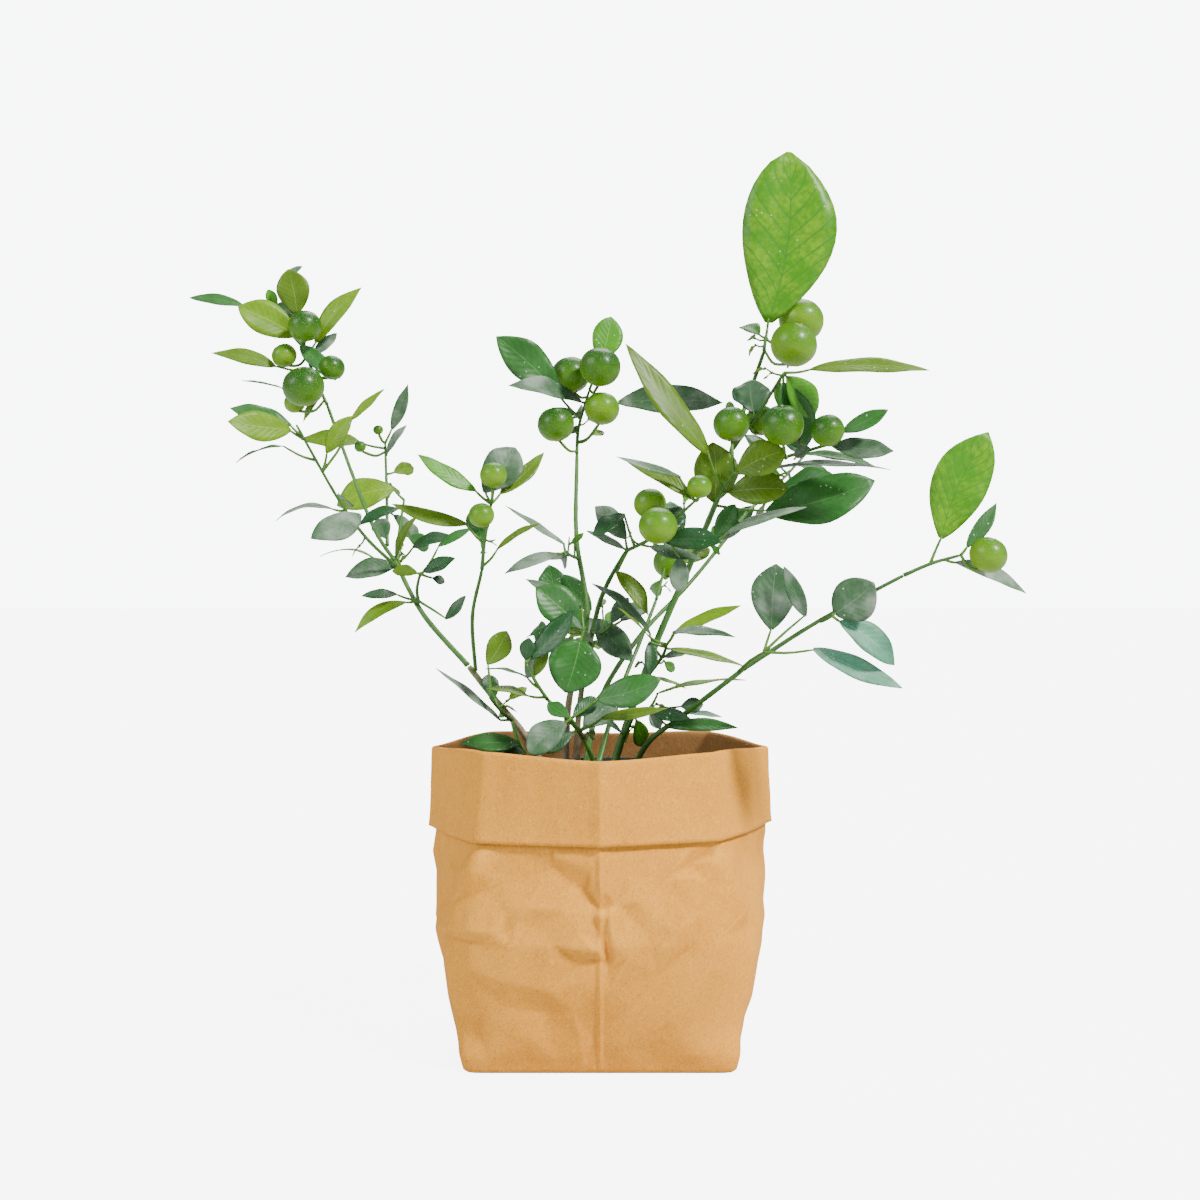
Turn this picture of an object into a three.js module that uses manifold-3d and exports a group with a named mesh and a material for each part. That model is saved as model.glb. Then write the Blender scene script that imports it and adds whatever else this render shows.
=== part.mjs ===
// A young calamondin orange tree in its nursery pot, stood in a kraft paper bag with a folded cuff.
// Millimetres, +Z up. The origin is the middle of the bag's flat underside, and -Y is the front.
import * as THREE from "three";
import { mergeVertices } from "three/addons/utils/BufferGeometryUtils.js";
import Module from "manifold-3d";

const wasm = await Module();
wasm.setup();

// Driving dimensions

const clearance = 0.3;
const weldDistance = 0.0005;

const bag = {
  height: 131.6,
  wall: 1.2,
  baseHalfWidth: 56,
  waistHalfWidth: 75,
  waistHeight: 56,
  rimHalfWidth: 76,
  baseSquareness: 7,
  rimSquareness: 1.86,
  baseCrease: 2.5,
  sides: 36,
  levels: 6,
};

const cuff = {
  lowEdge: 95.6,
  top: 133.4,
  paper: 1.2,
  standOff: 1.6,
  flare: 1.2,
};

const pot = {
  bottomRadius: 46,
  rimRadius: 61,
  lipRadius: 63,
  lipHeight: 6,
  top: 121,
  wall: 1.2,
  sides: 26,
};

const soil = { top: 112, dish: 2, crumb: 1.5 };

const leafShape = {
  stalkRadius: 0.45,
  thickness: 0.5,
  thicknessRatio: 0.012,
  sides: 3,
  stationSpacing: 18,
  bladeStart: 0.02,
  stalkSink: 0.04,
  sharpTurn: 60,
  fullness: [0.8, 0.64],
  widestShift: [0.9, 1.2],
  slim: 0.3,
  broad: 0.55,
  nearlyRound: 0.7,
  round: 0.95,
  leastArch: 0.1,
  mostArch: 0.35,
  leastFold: 0.08,
  mostFold: 0.25,
};

const fruitShape = { flatness: 0.94, stalkRadius: 0.6 };

const spacing = {
  sampleStep: 5,
  rootSink: 1.2,
  stalkClear: 4,
  leafToLeaf: 3.2,
  leafToWood: 1.6,
  nudge: 8,
  tries: 9,
};

const fillRule = { shortest: 17, longest: 29, slimmest: 0.36, broadest: 0.54, leanSpread: 50 };

// Limbs. A rooted limb starts flat on the soil; a bough starts at [limb, place along it], clear of it.

const limbs = {
  stem_left: {
    foot: [-19, -10], radii: [1.7, 1.3],
    route: [[-33, -13, 137], [-47, -14, 154], [-58, -14, 168]],
  },
  bough_left: {
    on: ["stem_left", 1], radii: [1.25, 1.0],
    route: [[-79, -6, 191], [-93, 5, 215]],
  },
  upright_left: {
    on: ["stem_left", 0.9], radii: [0.9, 0.75],
    route: [[-55, -32, 190], [-50, -46, 210]],
  },
  bough_left_top: {
    on: ["bough_left", 1], radii: [0.95, 0.8],
    route: [[-103, 14, 229], [-114, 27, 252], [-130, 46, 290]],
  },
  stem_centre: {
    foot: [-16, 7], radii: [1.6, 0.9],
    route: [[-14, 7, 151], [-6, 10, 189], [-11, 24, 227], [-11, 40, 266]],
  },
  stem_twin: {
    foot: [-11, 1], radii: [1.35, 0.9],
    route: [[-9, 0, 151], [-2, -2, 189], [3, -12, 204], [11, -28, 218]],
  },
  stem_mid: {
    foot: [3, -6], radii: [1.7, 1.25],
    route: [[11, -7, 139], [25, -8, 178], [40, -8, 213], [53, -8, 244]],
  },
  bough_top: {
    on: ["stem_mid", 1], radii: [1.1, 0.85],
    route: [[63, 2, 277], [75, 14, 311]],
  },
  stem_back: {
    foot: [-8, 22], radii: [1.3, 0.9],
    route: [[0, 33, 150], [19, 48, 180], [45, 65, 207], [73, 80, 241]],
  },
  stem_right: {
    foot: [11, -18], radii: [1.3, 1.05],
    route: [[20, -26, 134], [35, -32, 147], [60, -50, 168]],
  },
  arm_right: {
    on: ["stem_right", 1], radii: [1.0, 0.75],
    route: [[83, -62, 184], [100, -74, 195], [121, -86, 207]],
  },
  stem_front: {
    foot: [2, -32], radii: [1.15, 0.9],
    route: [[-7, -37, 138], [-22, -46, 155]],
  },
  stem_rear: {
    foot: [-3, 36], radii: [1.2, 0.85],
    route: [[8, 60, 148], [20, 79, 177], [28, 88, 197]],
  },
  cut_stub: {
    foot: [-1, -14], radii: [2.3, 2.1],
    route: [[0, -15, 119], [1, -16, 126]],
  },
};

// Sprays. Each grows from a limb along one twig. A leaf is
// [place along the twig, clock in front view, lean to the front, stalk, length, width, turn to the front,
// arch, turn of the stalk]; a fruit is [place, clock, lean, distance from the twig to its middle, radius].
// Angles are in degrees.

const sprays = {
  left_top_spray: {
    on: ["bough_left_top", 1], route: [[-138, 50, 307], [-143, 53, 323], [-149, 56, 343]],
    seed: 11, fill: 2, fillLean: -62, reach: 62,
    leaves: [
      [0.84, 173, 5, 26, 26, 6.5, 60, 0.1, -6], [0.66, 154, 12, 3, 31, 17, 80, 0.1, 0],
      [0.75, 100, 15, 7, 22, 16, 85, 0.1, 0], [1, 37, -10, 11, 10, 4.5, 60, 0.1, 71],
      [0.84, 115, 8, 11, 10, 5.5, 75, 0.1, 39], [0.85, 150, -35, 2, 20, 9, 60, 0.1, 0],
      [0.52, 51, 5, 6, 35.5, 11.5, 62, 0.1, 0], [0.45, 50, -18, 4, 17, 7, 60, 0.1, 0],
      [0.66, 316, 20, 3.5, 28, 9, 60, 0.25, -70], [0.33, 169, 8, 17, 31, 8.5, 65, 0.1, 4],
      [0.11, 170, 5, 18.5, 20, 7, 8, 0.1, 3], [0.12, 230, -10, 3, 17, 5, 60, 0.1, 0],
    ],
    fruit: [
      [0.7, 42, 66, 10.4, 7.9], [0.5, 183, 18, 11, 6], [0.25, 231, 61, 12.6, 9.9],
      [0.4, 350, 22, 12.4, 6.2], [0.05, 184, -11, 15.2, 5.2],
    ],
  },
  left_low_spray: {
    on: ["bough_left", 0.93], route: [[-104, -9, 225], [-115, -20, 242], [-128, -48, 271]],
    seed: 23, fill: 1, fillLean: -62, reach: 62,
    leaves: [
      [0.95, 164, 0, 6.5, 27.5, 10, 55, 0.35, -29], [0.94, 175, 12, 7, 29, 13, 78, 0.1, -31],
      [0.85, 199, 5, 14, 22.5, 8, 10, 0.35, -44], [0.8, 54, 8, 8, 20, 9, 75, 0.1, 23],
      [0.8, 43, 0, 25.5, 20, 5.5, 50, 0.1, 18], [0.58, 192, 10, 5, 26, 8, 18, 0.6, -17],
      [0.45, 210, 28, 7, 28, 14, 68, 0.2, -150], [0.45, 22, -5, 1.5, 19.5, 7, 50, 0.3, 0],
    ],
    fruit: [],
  },
  left_twig_spray: {
    on: ["bough_left_top", 0.12], route: [[-101, 40, 246], [-105, 66, 274]],
    seed: 37, fill: 2, fillLean: -62, reach: 60,
    leaves: [
      [0.95, 178, 5, 12.5, 29, 10, 60, 0.15, -12], [1, 71, -5, 7, 24.5, 6.5, 55, 0.1, -6],
      [0.88, 54, 10, 1, 17.5, 6, 50, 0.1, 0], [0.05, 122, -30, 1, 16, 9, 65, 0.1, 0],
    ],
    fruit: [[1, 117, 16, 7.3, 2.5], [0.92, 169, 5, 12.4, 2.9]],
  },
  left_inner_spray: {
    on: ["bough_left", 0.88], route: [[-93, 14, 220], [-93, 25, 231], [-92.5, 38, 244.5]],
    seed: 41, fill: 1, fillLean: -62, reach: 52,
    leaves: [
      [1, 197, 8, 6.7, 28.7, 17, 65, 0.35, -70], [0.05, 62, 10, 3, 22, 6, 50, 0.3, 60],
      [0.02, 193, 8, 1, 24, 10, 65, 0.1, 0], [0.02, 173, -5, 9, 30, 4, 8, 0.6, 4],
      [0.08, 15, 10, 9, 20.5, 6.5, 60, 0.2, 33],
    ],
    fruit: [],
  },
  left_under_spray: {
    on: ["bough_left", 0.55], route: [[-81.5, -8, 202], [-79.5, -14, 209]],
    seed: 47, fill: 0, fillLean: -62, reach: 48,
    leaves: [
      [0, 211, 8, 5, 27, 7, 50, 0.45, -26], [0, 183, 15, 10, 16, 5, 60, 0.2, -21],
      [1, 175, -10, 1, 12, 6, 60, 0.1, 0], [1, 23, 10, 1.5, 16, 7, 65, 0.1, 0],
      [0.9, 29, -5, 15.5, 17.5, 5, 55, 0.2, 30], [1, 340, -20, 6, 6, 4.5, 60, 0.1, 0],
      [0, 48, 12, 15, 14.5, 6, 60, 0.1, -82],
    ],
    fruit: [],
  },
  left_mid_spray: {
    on: ["upright_left", 1], route: [[-48, -54, 224], [-45, -62, 237]],
    seed: 53, fill: 1, fillLean: -62, reach: 52,
    leaves: [
      [1, 148, 5, 8, 28.5, 8, 60, 0.1, -9], [1, 57, -12, 6, 25, 17, 78, 0.1, 69],
      [1, 46, -5, 6, 30, 7.5, 60, 0.1, 6], [0.38, 165, 5, 10.5, 33, 7, 60, 0.1, -36],
      [0.02, 31, 8, 9, 22.5, 5.5, 35, 0.15, 18],
    ],
    fruit: [[0.7, 124, 59, 7.2, 5.4], [1, 84, 23, 12.7, 5.6]],
  },
  low_left_spray: {
    on: ["stem_left", 0.45], route: [[-42, -27, 148], [-47, -36, 155]],
    seed: 61, fill: 1, fillLean: -62, reach: 48,
    leaves: [
      [0, 140, 12, 4, 38.5, 6, 30, 0.1, 58], [1, 60, -5, 14.5, 17, 11, 75, 0.1, 36],
      [0, 178, 15, 12, 27, 10, 50, 0.3, 114], [0, 172, 5, 16.5, 15, 8, 50, 0.1, 123],
    ],
    fruit: [],
  },
  centre_top_spray: {
    on: ["stem_centre", 1], route: [[-10, 44, 280], [-5, 48, 298]],
    seed: 71, fill: 2, fillLean: -62, reach: 70,
    leaves: [
      [1, 77, -12, 14.5, 24, 15, 80, 0.05, -8], [0.6, 138, 3, 16, 40, 18.5, 80, 0.05, -6],
      [0.82, 172, 12, 1.5, 43, 11, 55, 0.15, 0], [0.7, 187, -5, 3, 16, 8, 60, 0.1, 0],
      [0.82, 1, -8, 15, 52, 16.5, 62, 0.2, 0],
    ],
    fruit: [
      [0.9, 127, -12, 13.8, 9.4], [1, 60, 56, 18, 9.7],
      [0.2, 54, 11, 20.3, 8.3], [0.05, 129, 21, 16.8, 8.7],
    ],
  },
  centre_mid_spray: {
    on: ["stem_centre", 0.68], route: [[-13, 14, 217.5], [-15.5, 2, 219]],
    seed: 83, fill: 1, fillLean: -62, reach: 50,
    leaves: [
      [1, 147, 5, 3, 32.5, 5.5, 35, 0.12, -60], [0.6, 190, 5, 1, 11, 4.5, 50, 0.3, 0],
      [1, 200, 8, 3, 26.5, 7.5, 45, 0.45, 0],
    ],
    fruit: [],
  },
  heart_spray: {
    on: ["stem_twin", 0.42], route: [[-5, -20, 181], [-7, -42, 184.5]],
    seed: 89, fill: 1, fillLean: -62, reach: 48,
    leaves: [
      [1, 254, 10, 4.4, 23.5, 23, 85, 0.1, 0], [1, 138, 5, 1.5, 26, 16.5, 78, 0.1, 0],
      [1, 133, 25, 2, 11, 4, 50, 0.1, 0], [1, 155, 0, 10.5, 29, 7, 45, 0.15, -65],
    ],
    fruit: [],
  },
  centre_right_spray: {
    on: ["stem_twin", 1], route: [[24, -40, 225], [40, -52, 239]],
    seed: 97, fill: 1, fillLean: -62, reach: 50,
    leaves: [
      [0, 134, 8, 4.7, 20, 11, 65, 0.2, -39], [0.15, 215, 12, 15.4, 18, 8, 60, 0.2, -109],
      [0, 155, 10, 1.5, 18.5, 5, 45, 0.1, 0], [0.25, 346, 12, 4, 23, 6.5, 55, 0.15, 0],
      [0.5, 358, 20, 4, 26.5, 11, 62, 0.15, -39], [0.55, 62, -12, 3.5, 18.5, 11.5, 70, 0.1, -90],
      [0.6, 267, 5, 13.5, 15, 8.5, 65, 0.1, 33], [1, 150, 8, 1, 32, 8, 60, 0.1, 0],
      [1, 163, 0, 11.3, 29, 5, 40, 0.1, -42], [0, 306, 10, 10.5, 24, 8.5, 60, 0.15, -66],
    ],
    fruit: [[0.45, 69, 70, 13.9, 8.2], [0.45, 95, 4, 14.5, 7], [1, 76, 35, 7, 5.2]],
  },
  centre_low_spray: {
    on: ["stem_twin", 0.45], route: [[1, -14, 183], [5, -24, 186]],
    seed: 101, fill: 1, fillLean: -62, reach: 42,
    leaves: [
      [0, 310, 20, 7, 27.5, 13, 72, 0.1, 133], [0.8, 56, 5, 3, 13.5, 7, 70, 0.1, 0],
    ],
    fruit: [],
  },
  right_heart_spray: {
    on: ["stem_mid", 0.93], route: [[54, -20, 246], [58, -30, 252]],
    seed: 113, fill: 1, fillLean: -62, reach: 75,
    leaves: [
      [0.5, 127, 2, 15, 62, 13.5, 62, 0.2, -15], [0.05, 92, 25, 2, 27, 20, 82, 0.1, 0],
      [1, 24, 15, 1, 23, 16, 75, 0.1, 0], [0.4, 2, 20, 3, 27, 16, 72, 0.1, 0],
      [1, 1, 5, 3, 64, 8, 18, 0.12, 0], [0.1, 16, 0, 22, 51, 22, 74, 0.1, -24],
    ],
    fruit: [[1, 91, -24, 24.5, 8.1]],
  },
  right_low_spray: {
    on: ["stem_mid", 0.8], route: [[47, -14, 221], [51, -22, 223.5]],
    seed: 117, fill: 1, fillLean: -62, reach: 50,
    leaves: [
      [1, 18, 12, 4, 38, 8, 35, 0.1, 20], [0.8, 31, 22, 1, 16, 7, 55, 0.1, 0],
      [0.8, 59, -15, 2, 18, 9.5, 68, 0.1, 0],
    ],
    fruit: [],
  },
  right_head_spray: {
    on: ["bough_top", 0.3], route: [[70, -20, 280], [79, -34, 295]],
    seed: 127, fill: 1, fillLean: -62, reach: 75,
    leaves: [
      [1, 358.5, 8, 10.7, 51, 9.5, 48, 0.22, 8], [0.4, 92, -35, 3, 20, 17, 75, 0.1, 0],
      [1, 293, -28, 4, 34, 18, 80, 0.1, -30], [1, 312, -30, 2, 24, 15, 75, 0.1, 0],
    ],
    fruit: [[0.3, 28, -37, 8.3, 7.1]],
  },
  right_fruit_spray: {
    on: ["bough_top", 0.12], route: [[82, -22, 260], [100, -34, 265], [102.5, -38, 268.5]],
    seed: 131, fill: 1, fillLean: -62, reach: 70,
    leaves: [
      [1, 26, 3, 1, 22, 8.5, 60, 0.1, 0], [0.6, 354, 8, 2, 27, 11, 62, 0.1, 0],
      [0.4, 351, 12, 2, 32, 7, 35, 0.1, 0], [0.35, 20, 30, 2, 11, 6, 60, 0.1, 0],
    ],
    fruit: [[1, 173, 45, 8.5, 7.2], [0.33, 108, 55, 22, 9.2]],
  },
  top_spray: {
    on: ["bough_top", 1], route: [[76, 15, 317], [77, 16, 323]],
    seed: 139, fill: 2, fillLean: -62, reach: 60,
    leaves: [
      [1, 83, 0, 0.5, 80.5, 43.5, 87, 0.05, 0],
    ],
    fruit: [[0.5, 30, -24, 22, 10.5], [0.05, 4, 39, 16, 10.6]],
  },
  back_right_spray: {
    on: ["stem_back", 1], route: [[88, 90, 254], [106, 100, 273]],
    seed: 149, fill: 7, fillLean: -60, reach: 60,
    leaves: [
      [0.4, 10, 35, 5, 34, 15, 60, 0.2, 0], [0.9, 110, -50, 4, 28, 14, 60, 0.2, 0],
      [0.7, 140, 10, 4, 26, 12, 60, 0.2, 0],
    ],
    fruit: [[0.6, 300, -20, 12, 8.2]],
  },
  arm_inner_spray: {
    on: ["stem_right", 0.96], route: [[62, -62, 172], [67, -70, 176]],
    seed: 151, fill: 0, fillLean: 25, reach: 60,
    leaves: [
      [1, 85, -8, 9.3, 28, 18.5, 80, 0.1, -15], [1, 114, 5, 22.3, 23, 7, 50, 0.1, -74],
      [1, 336, 8, 19.5, 40, 10.5, 55, 0.1, 29],
    ],
    fruit: [],
  },
  arm_outer_spray: {
    on: ["arm_right", 0.45], route: [[92, -74, 189.5], [93.5, -80, 191]],
    seed: 163, fill: 0, fillLean: 30, reach: 50,
    leaves: [
      [1, 38, 5, 1, 20.5, 18.5, 82, 0.1, 0], [1, 322, 10, 3.4, 29.5, 13, 65, 0.2, 0],
    ],
    fruit: [],
  },
  arm_tip_spray: {
    on: ["arm_right", 1], route: [[132, -91, 212], [142, -96, 215]],
    seed: 173, fill: 0, fillLean: -20, reach: 68,
    leaves: [
      [0.45, 66, 0, 10.3, 47, 23, 86, 0.05, 1], [1, 55, -8, 3.6, 22.3, 6.5, 60, 0.1, -5],
      [0.7, 339, 8, 5, 38, 8.5, 50, 0.25, 8],
    ],
    fruit: [[1, 0, 8, 10.6, 7.5]],
  },
  low_right_spray: {
    on: ["stem_mid", 0.38], route: [[27, -20, 172], [29, -28, 178]],
    seed: 181, fill: 1, fillLean: -62, reach: 55,
    leaves: [
      [1, 23, 5, 4.8, 32.5, 7, 45, 0.1, 40], [1, 356, 3, 6.4, 30, 6.5, 35, 0.35, 74],
      [0.85, 347, 8, 1, 34.5, 6.5, 30, 0.18, 0], [0.5, 15, 15, 1, 13.5, 5.5, 45, 0.1, 0],
      [0.1, 342, 10, 1, 17, 4, 15, 0.1, 0], [0.5, 139, 5, 11.5, 37, 8, 40, 0.15, -24],
      [1, 137, 15, 10.5, 21, 5, 30, 0.1, 18], [0.9, 267, 20, 8.2, 16, 6, 50, 0.1, -108],
    ],
    fruit: [],
  },
  low_centre_spray: {
    on: ["stem_mid", 0.2], route: [[16, -20, 148], [21, -30, 150]],
    seed: 191, fill: 1, fillLean: -62, reach: 52,
    leaves: [
      [1, 9, 3, 7, 40, 6, 15, 0.25, 59], [1, 349, 15, 1, 20.5, 7, 55, 0.15, 0],
      [1, 5, 12, 14, 10, 7, 70, 0.1, 0], [1, 353, 8, 18, 16, 4, 30, 0.1, 0],
      [1, 1, 12, 11.3, 32, 8, 40, 0.1, -45], [1, 300, 25, 1.5, 9, 6, 65, 0.1, 0],
      [0.05, 144, 15, 2, 19.5, 5, 40, 0.15, 0],
    ],
    fruit: [],
  },
  low_front_spray: {
    on: ["stem_front", 0.5], route: [[-9, -48, 142], [-12, -56, 148]],
    seed: 199, fill: 1, fillLean: -62, reach: 46,
    leaves: [
      [1, 18, 10, 13, 29, 13.5, 72, 0.1, 20], [1, 40, -5, 1, 14, 8, 65, 0.1, 0],
      [0.5, 9, 8, 10.7, 29, 6.5, 45, 0.15, 22], [1, 219, 15, 2.5, 21, 13, 75, 0.1, 0],
      [0.6, 214, 20, 2, 16, 8, 65, 0.1, 0], [1, 150, -10, 1, 12, 7, 60, 0.1, 0],
    ],
    fruit: [],
  },
  front_left_spray: {
    on: ["stem_front", 1], route: [[-27, -52, 163], [-31, -56, 171]],
    seed: 211, fill: 0, fillLean: -62, reach: 44,
    leaves: [
      [1, 82, 10, 1, 10, 6.5, 80, 0.1, 0], [0.6, 62, 5, 1, 12.5, 6, 65, 0.1, 0],
      [1, 48, -20, 2, 29, 10.5, 65, 0.1, 0], [0.3, 167, 5, 6.3, 19, 5, 10, 0.35, -29],
      [0, 170, 8, 7.5, 18, 6, 30, 0.25, 6], [0, 20, 15, 1, 9, 5.5, 60, 0.1, 0],
    ],
    fruit: [],
  },
  rear_spray: {
    on: ["stem_rear", 1], route: [[32, 100, 210], [35, 108, 222]],
    seed: 223, fill: 9, fillLean: -70, reach: 52,
    leaves: [
      [0.9, 85, -40, 5, 34, 16, 70, 0.2, 0], [0.7, 20, -40, 4, 30, 14, 60, 0.2, 0],
    ],
    fruit: [[0.5, 60, -50, 12, 8.6]],
  },
  rear_left_spray: {
    on: ["stem_centre", 0.42], route: [[-14, 40, 178], [-20, 66, 180], [-24, 80, 186]],
    seed: 233, fill: 9, fillLean: -70, reach: 56,
    leaves: [
      [0.02, 128, -25, 17.5, 24, 12, 70, 0.1, -55], [0.95, 95, -35, 5, 32, 15, 65, 0.2, 0],
      [0.75, 235, -30, 4, 28, 13, 60, 0.2, 0],
    ],
    fruit: [[0.7, 300, -30, 13, 8.4]],
  },
};

// Small tools

const radians = THREE.MathUtils.degToRad;
const mix = THREE.MathUtils.lerp;
const clamp = THREE.MathUtils.clamp;

function seeded(seed) {
  let state = seed;
  return () => {
    state = (state * 16807) % 2147483647;
    return state / 2147483647;
  };
}

function toSolid(geometry) {
  const bare = new THREE.BufferGeometry();
  bare.setAttribute("position", geometry.getAttribute("position"));
  bare.setIndex(geometry.getIndex());
  const welded = mergeVertices(bare, weldDistance);
  const index = welded.getIndex().array;
  const kept = [];
  for (let i = 0; i < index.length; i += 3) {
    const [a, b, c] = [index[i], index[i + 1], index[i + 2]];
    if (a !== b && b !== c && c !== a) kept.push(a, b, c);
  }
  const vertProperties = new Float32Array(welded.getAttribute("position").array);
  return new wasm.Manifold(new wasm.Mesh({ numProp: 3, vertProperties, triVerts: new Uint32Array(kept) }));
}

function toGeometry(solid) {
  const { vertProperties, triVerts } = solid.getMesh();
  const geometry = new THREE.BufferGeometry();
  geometry.setAttribute("position", new THREE.BufferAttribute(new Float32Array(vertProperties), 3));
  geometry.setIndex(new THREE.BufferAttribute(new Uint32Array(triVerts), 1));
  geometry.computeVertexNormals();
  return geometry;
}

function moveVertices(geometry, move) {
  const position = geometry.getAttribute("position");
  const point = new THREE.Vector3();
  for (let i = 0; i < position.count; i += 1) {
    point.fromBufferAttribute(position, i);
    move(point);
    position.setXYZ(i, point.x, point.y, point.z);
  }
  return geometry;
}

function smoothCurve(points) {
  return new THREE.CatmullRomCurve3(points, false, "catmullrom", 0.5);
}

// Bag and cuff: a square foot that lofts into a round mouth with soft corners at its seams

function bagHalfWidth(height) {
  if (height < bag.waistHeight) {
    const climb = height / bag.waistHeight;
    return mix(bag.baseHalfWidth, bag.waistHalfWidth, Math.sin(climb * Math.PI / 2) * 0.35 + climb * 0.65);
  }
  const above = (height - bag.waistHeight) / (bag.height - bag.waistHeight);
  return mix(bag.waistHalfWidth, bag.rimHalfWidth, above);
}

function turned(profile, sides) {
  const outline = profile.map(([radius, height]) => new THREE.Vector2(radius, height));
  return new THREE.LatheGeometry(outline, sides).rotateX(Math.PI / 2);
}

function bagStretch(angle, height) {
  const climb = clamp(height / bag.height, 0, 1);
  const power = mix(bag.rimSquareness, bag.baseSquareness, (1 - climb) ** 3);
  return (Math.abs(Math.cos(angle)) ** power + Math.abs(Math.sin(angle)) ** power) ** (-1 / power);
}

function bagLoft(profile) {
  return moveVertices(turned(profile, bag.sides), (point) => {
    const stretch = bagStretch(Math.atan2(point.y, point.x), point.z);
    point.x *= stretch;
    point.y *= stretch;
  });
}

function makeBag() {
  const heights = Array.from({ length: bag.levels + 1 }, (_, i) => bag.height * (i / bag.levels));
  const outside = heights.map((height) => [bagHalfWidth(height), height]);
  outside[0] = [bag.baseHalfWidth - bag.baseCrease, 0];
  outside.splice(1, 0, [bagHalfWidth(bag.baseCrease), bag.baseCrease]);
  const inside = heights.slice(1).reverse().map((height) => [bagHalfWidth(height) - bag.wall, height]);
  inside.push([bagHalfWidth(bag.baseCrease) - bag.wall, bag.baseCrease + bag.wall]);
  inside.push([bag.baseHalfWidth - bag.baseCrease - bag.wall, bag.wall]);
  return toSolid(bagLoft([[0, 0], ...outside, ...inside, [0, bag.wall]]));
}

function makeCuff() {
  const paperAt = (height, offset) => [bagHalfWidth(Math.min(height, bag.height)) + offset, height];
  const middle = (cuff.lowEdge + cuff.top) / 2;
  const under = bag.height + clearance;
  const inner = cuff.standOff;
  const profile = [
    paperAt(under, -bag.wall),
    paperAt(under, inner - cuff.paper * 0.5),
    paperAt(bag.height - cuff.paper, inner),
    paperAt(middle, inner + cuff.flare * 0.6),
    paperAt(cuff.lowEdge, inner + cuff.flare),
    paperAt(cuff.lowEdge, inner + cuff.flare + cuff.paper),
    paperAt(middle, inner + cuff.flare * 0.6 + cuff.paper),
    paperAt(bag.height - cuff.paper, inner + cuff.paper),
    paperAt(cuff.top - cuff.paper * 0.4, inner + cuff.paper * 0.5),
    paperAt(cuff.top, inner * 0.3),
    paperAt(cuff.top - cuff.paper * 0.3, -bag.wall),
  ];
  profile.push(profile[0]);
  return toSolid(bagLoft(profile));
}

// Nursery pot and the potting mix in it

function potRadius(height) {
  return mix(pot.bottomRadius, pot.rimRadius, (height - potFloor) / (pot.top - potFloor));
}

const potFloor = bag.wall + clearance;

function turnedSolid(profile) {
  return toSolid(turned(profile, pot.sides));
}

function makePot() {
  const lipBottom = pot.top - pot.lipHeight;
  return turnedSolid([
    [0, potFloor],
    [pot.bottomRadius - pot.wall, potFloor],
    [pot.bottomRadius, potFloor + pot.wall],
    [potRadius(lipBottom), lipBottom],
    [pot.lipRadius, lipBottom],
    [pot.lipRadius, pot.top],
    [pot.lipRadius - 2 * pot.wall, pot.top],
    [potRadius(lipBottom) - pot.wall, lipBottom],
    [pot.bottomRadius - pot.wall, potFloor + pot.wall],
    [0, potFloor + pot.wall],
  ]);
}

function makeSoil() {
  const low = potFloor + pot.wall + clearance;
  const gap = pot.wall + 2 * clearance;
  return turnedSolid([
    [0, low],
    [potRadius(low) - gap - clearance, low],
    [potRadius(soil.top - soil.crumb) - gap, soil.top - soil.crumb],
    [potRadius(soil.top) - gap - soil.dish, soil.top],
    [0, soil.top],
  ]);
}

// Limbs

function limbRadius(limb, along) {
  const flare = limb.foot ? 0.6 * limb.radii[0] * Math.exp(-along * 14) : 0;
  return mix(limb.radii[0], limb.radii[1], along) + flare;
}

function startBeside(parent, place, firstPoint, radius) {
  const spot = parent.curve.getPoint(place);
  const along = parent.curve.getTangent(place);
  const heading = firstPoint.clone().sub(spot).normalize();
  if (place === 1) {
    const slant = Math.sqrt(1 - Math.min(1, heading.dot(along)) ** 2);
    return spot.addScaledVector(along, clearance + radius * slant + 0.05);
  }
  const forward = heading.dot(along);
  const outward = Math.sqrt(1 - forward ** 2);
  const distance = (limbRadius(parent, place) + clearance + 0.1 + radius * Math.abs(forward)) / outward;
  return spot.addScaledVector(heading, distance);
}

function limbCurve(limb) {
  const route = limb.route.map((place) => new THREE.Vector3(...place));
  const start = limb.foot
    ? new THREE.Vector3(limb.foot[0], limb.foot[1], soil.top + clearance)
    : startBeside(limbs[limb.on[0]], limb.on[1], route[0], limb.radii[0]);
  return smoothCurve([start, ...route]);
}

function bentRod(curve, radiusAt, sides, steps, flatFoot) {
  const frames = curve.computeFrenetFrames(steps, false);
  const rod = new THREE.CylinderGeometry(1, 1, 1, sides, steps);
  return moveVertices(rod, (point) => {
    const along = point.y + 0.5;
    const step = Math.round(along * steps);
    const radius = radiusAt(along);
    const place = curve.getPointAt(along);
    const foot = place.z;
    place.addScaledVector(frames.normals[step], point.x * radius);
    place.addScaledVector(frames.binormals[step], -point.z * radius);
    if (flatFoot && step === 0) {
      place.addScaledVector(frames.tangents[0], (foot - place.z) / frames.tangents[0].z);
    }
    point.copy(place);
  });
}

function makeLimb(limb) {
  const steps = Math.max(3, Math.round(limb.curve.getLength() / 14));
  return toSolid(bentRod(limb.curve, (along) => limbRadius(limb, along), 6, steps, Boolean(limb.foot)));
}

// Leaves

function aimOf(clock, lean) {
  const [turn, front] = [radians(clock), radians(lean)];
  const reach = Math.cos(front);
  return new THREE.Vector3(Math.cos(turn) * reach, -Math.sin(front), Math.sin(turn) * reach);
}

function shareBetween(value, low, high) {
  return clamp((value - low) / (high - low), 0, 1);
}

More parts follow.
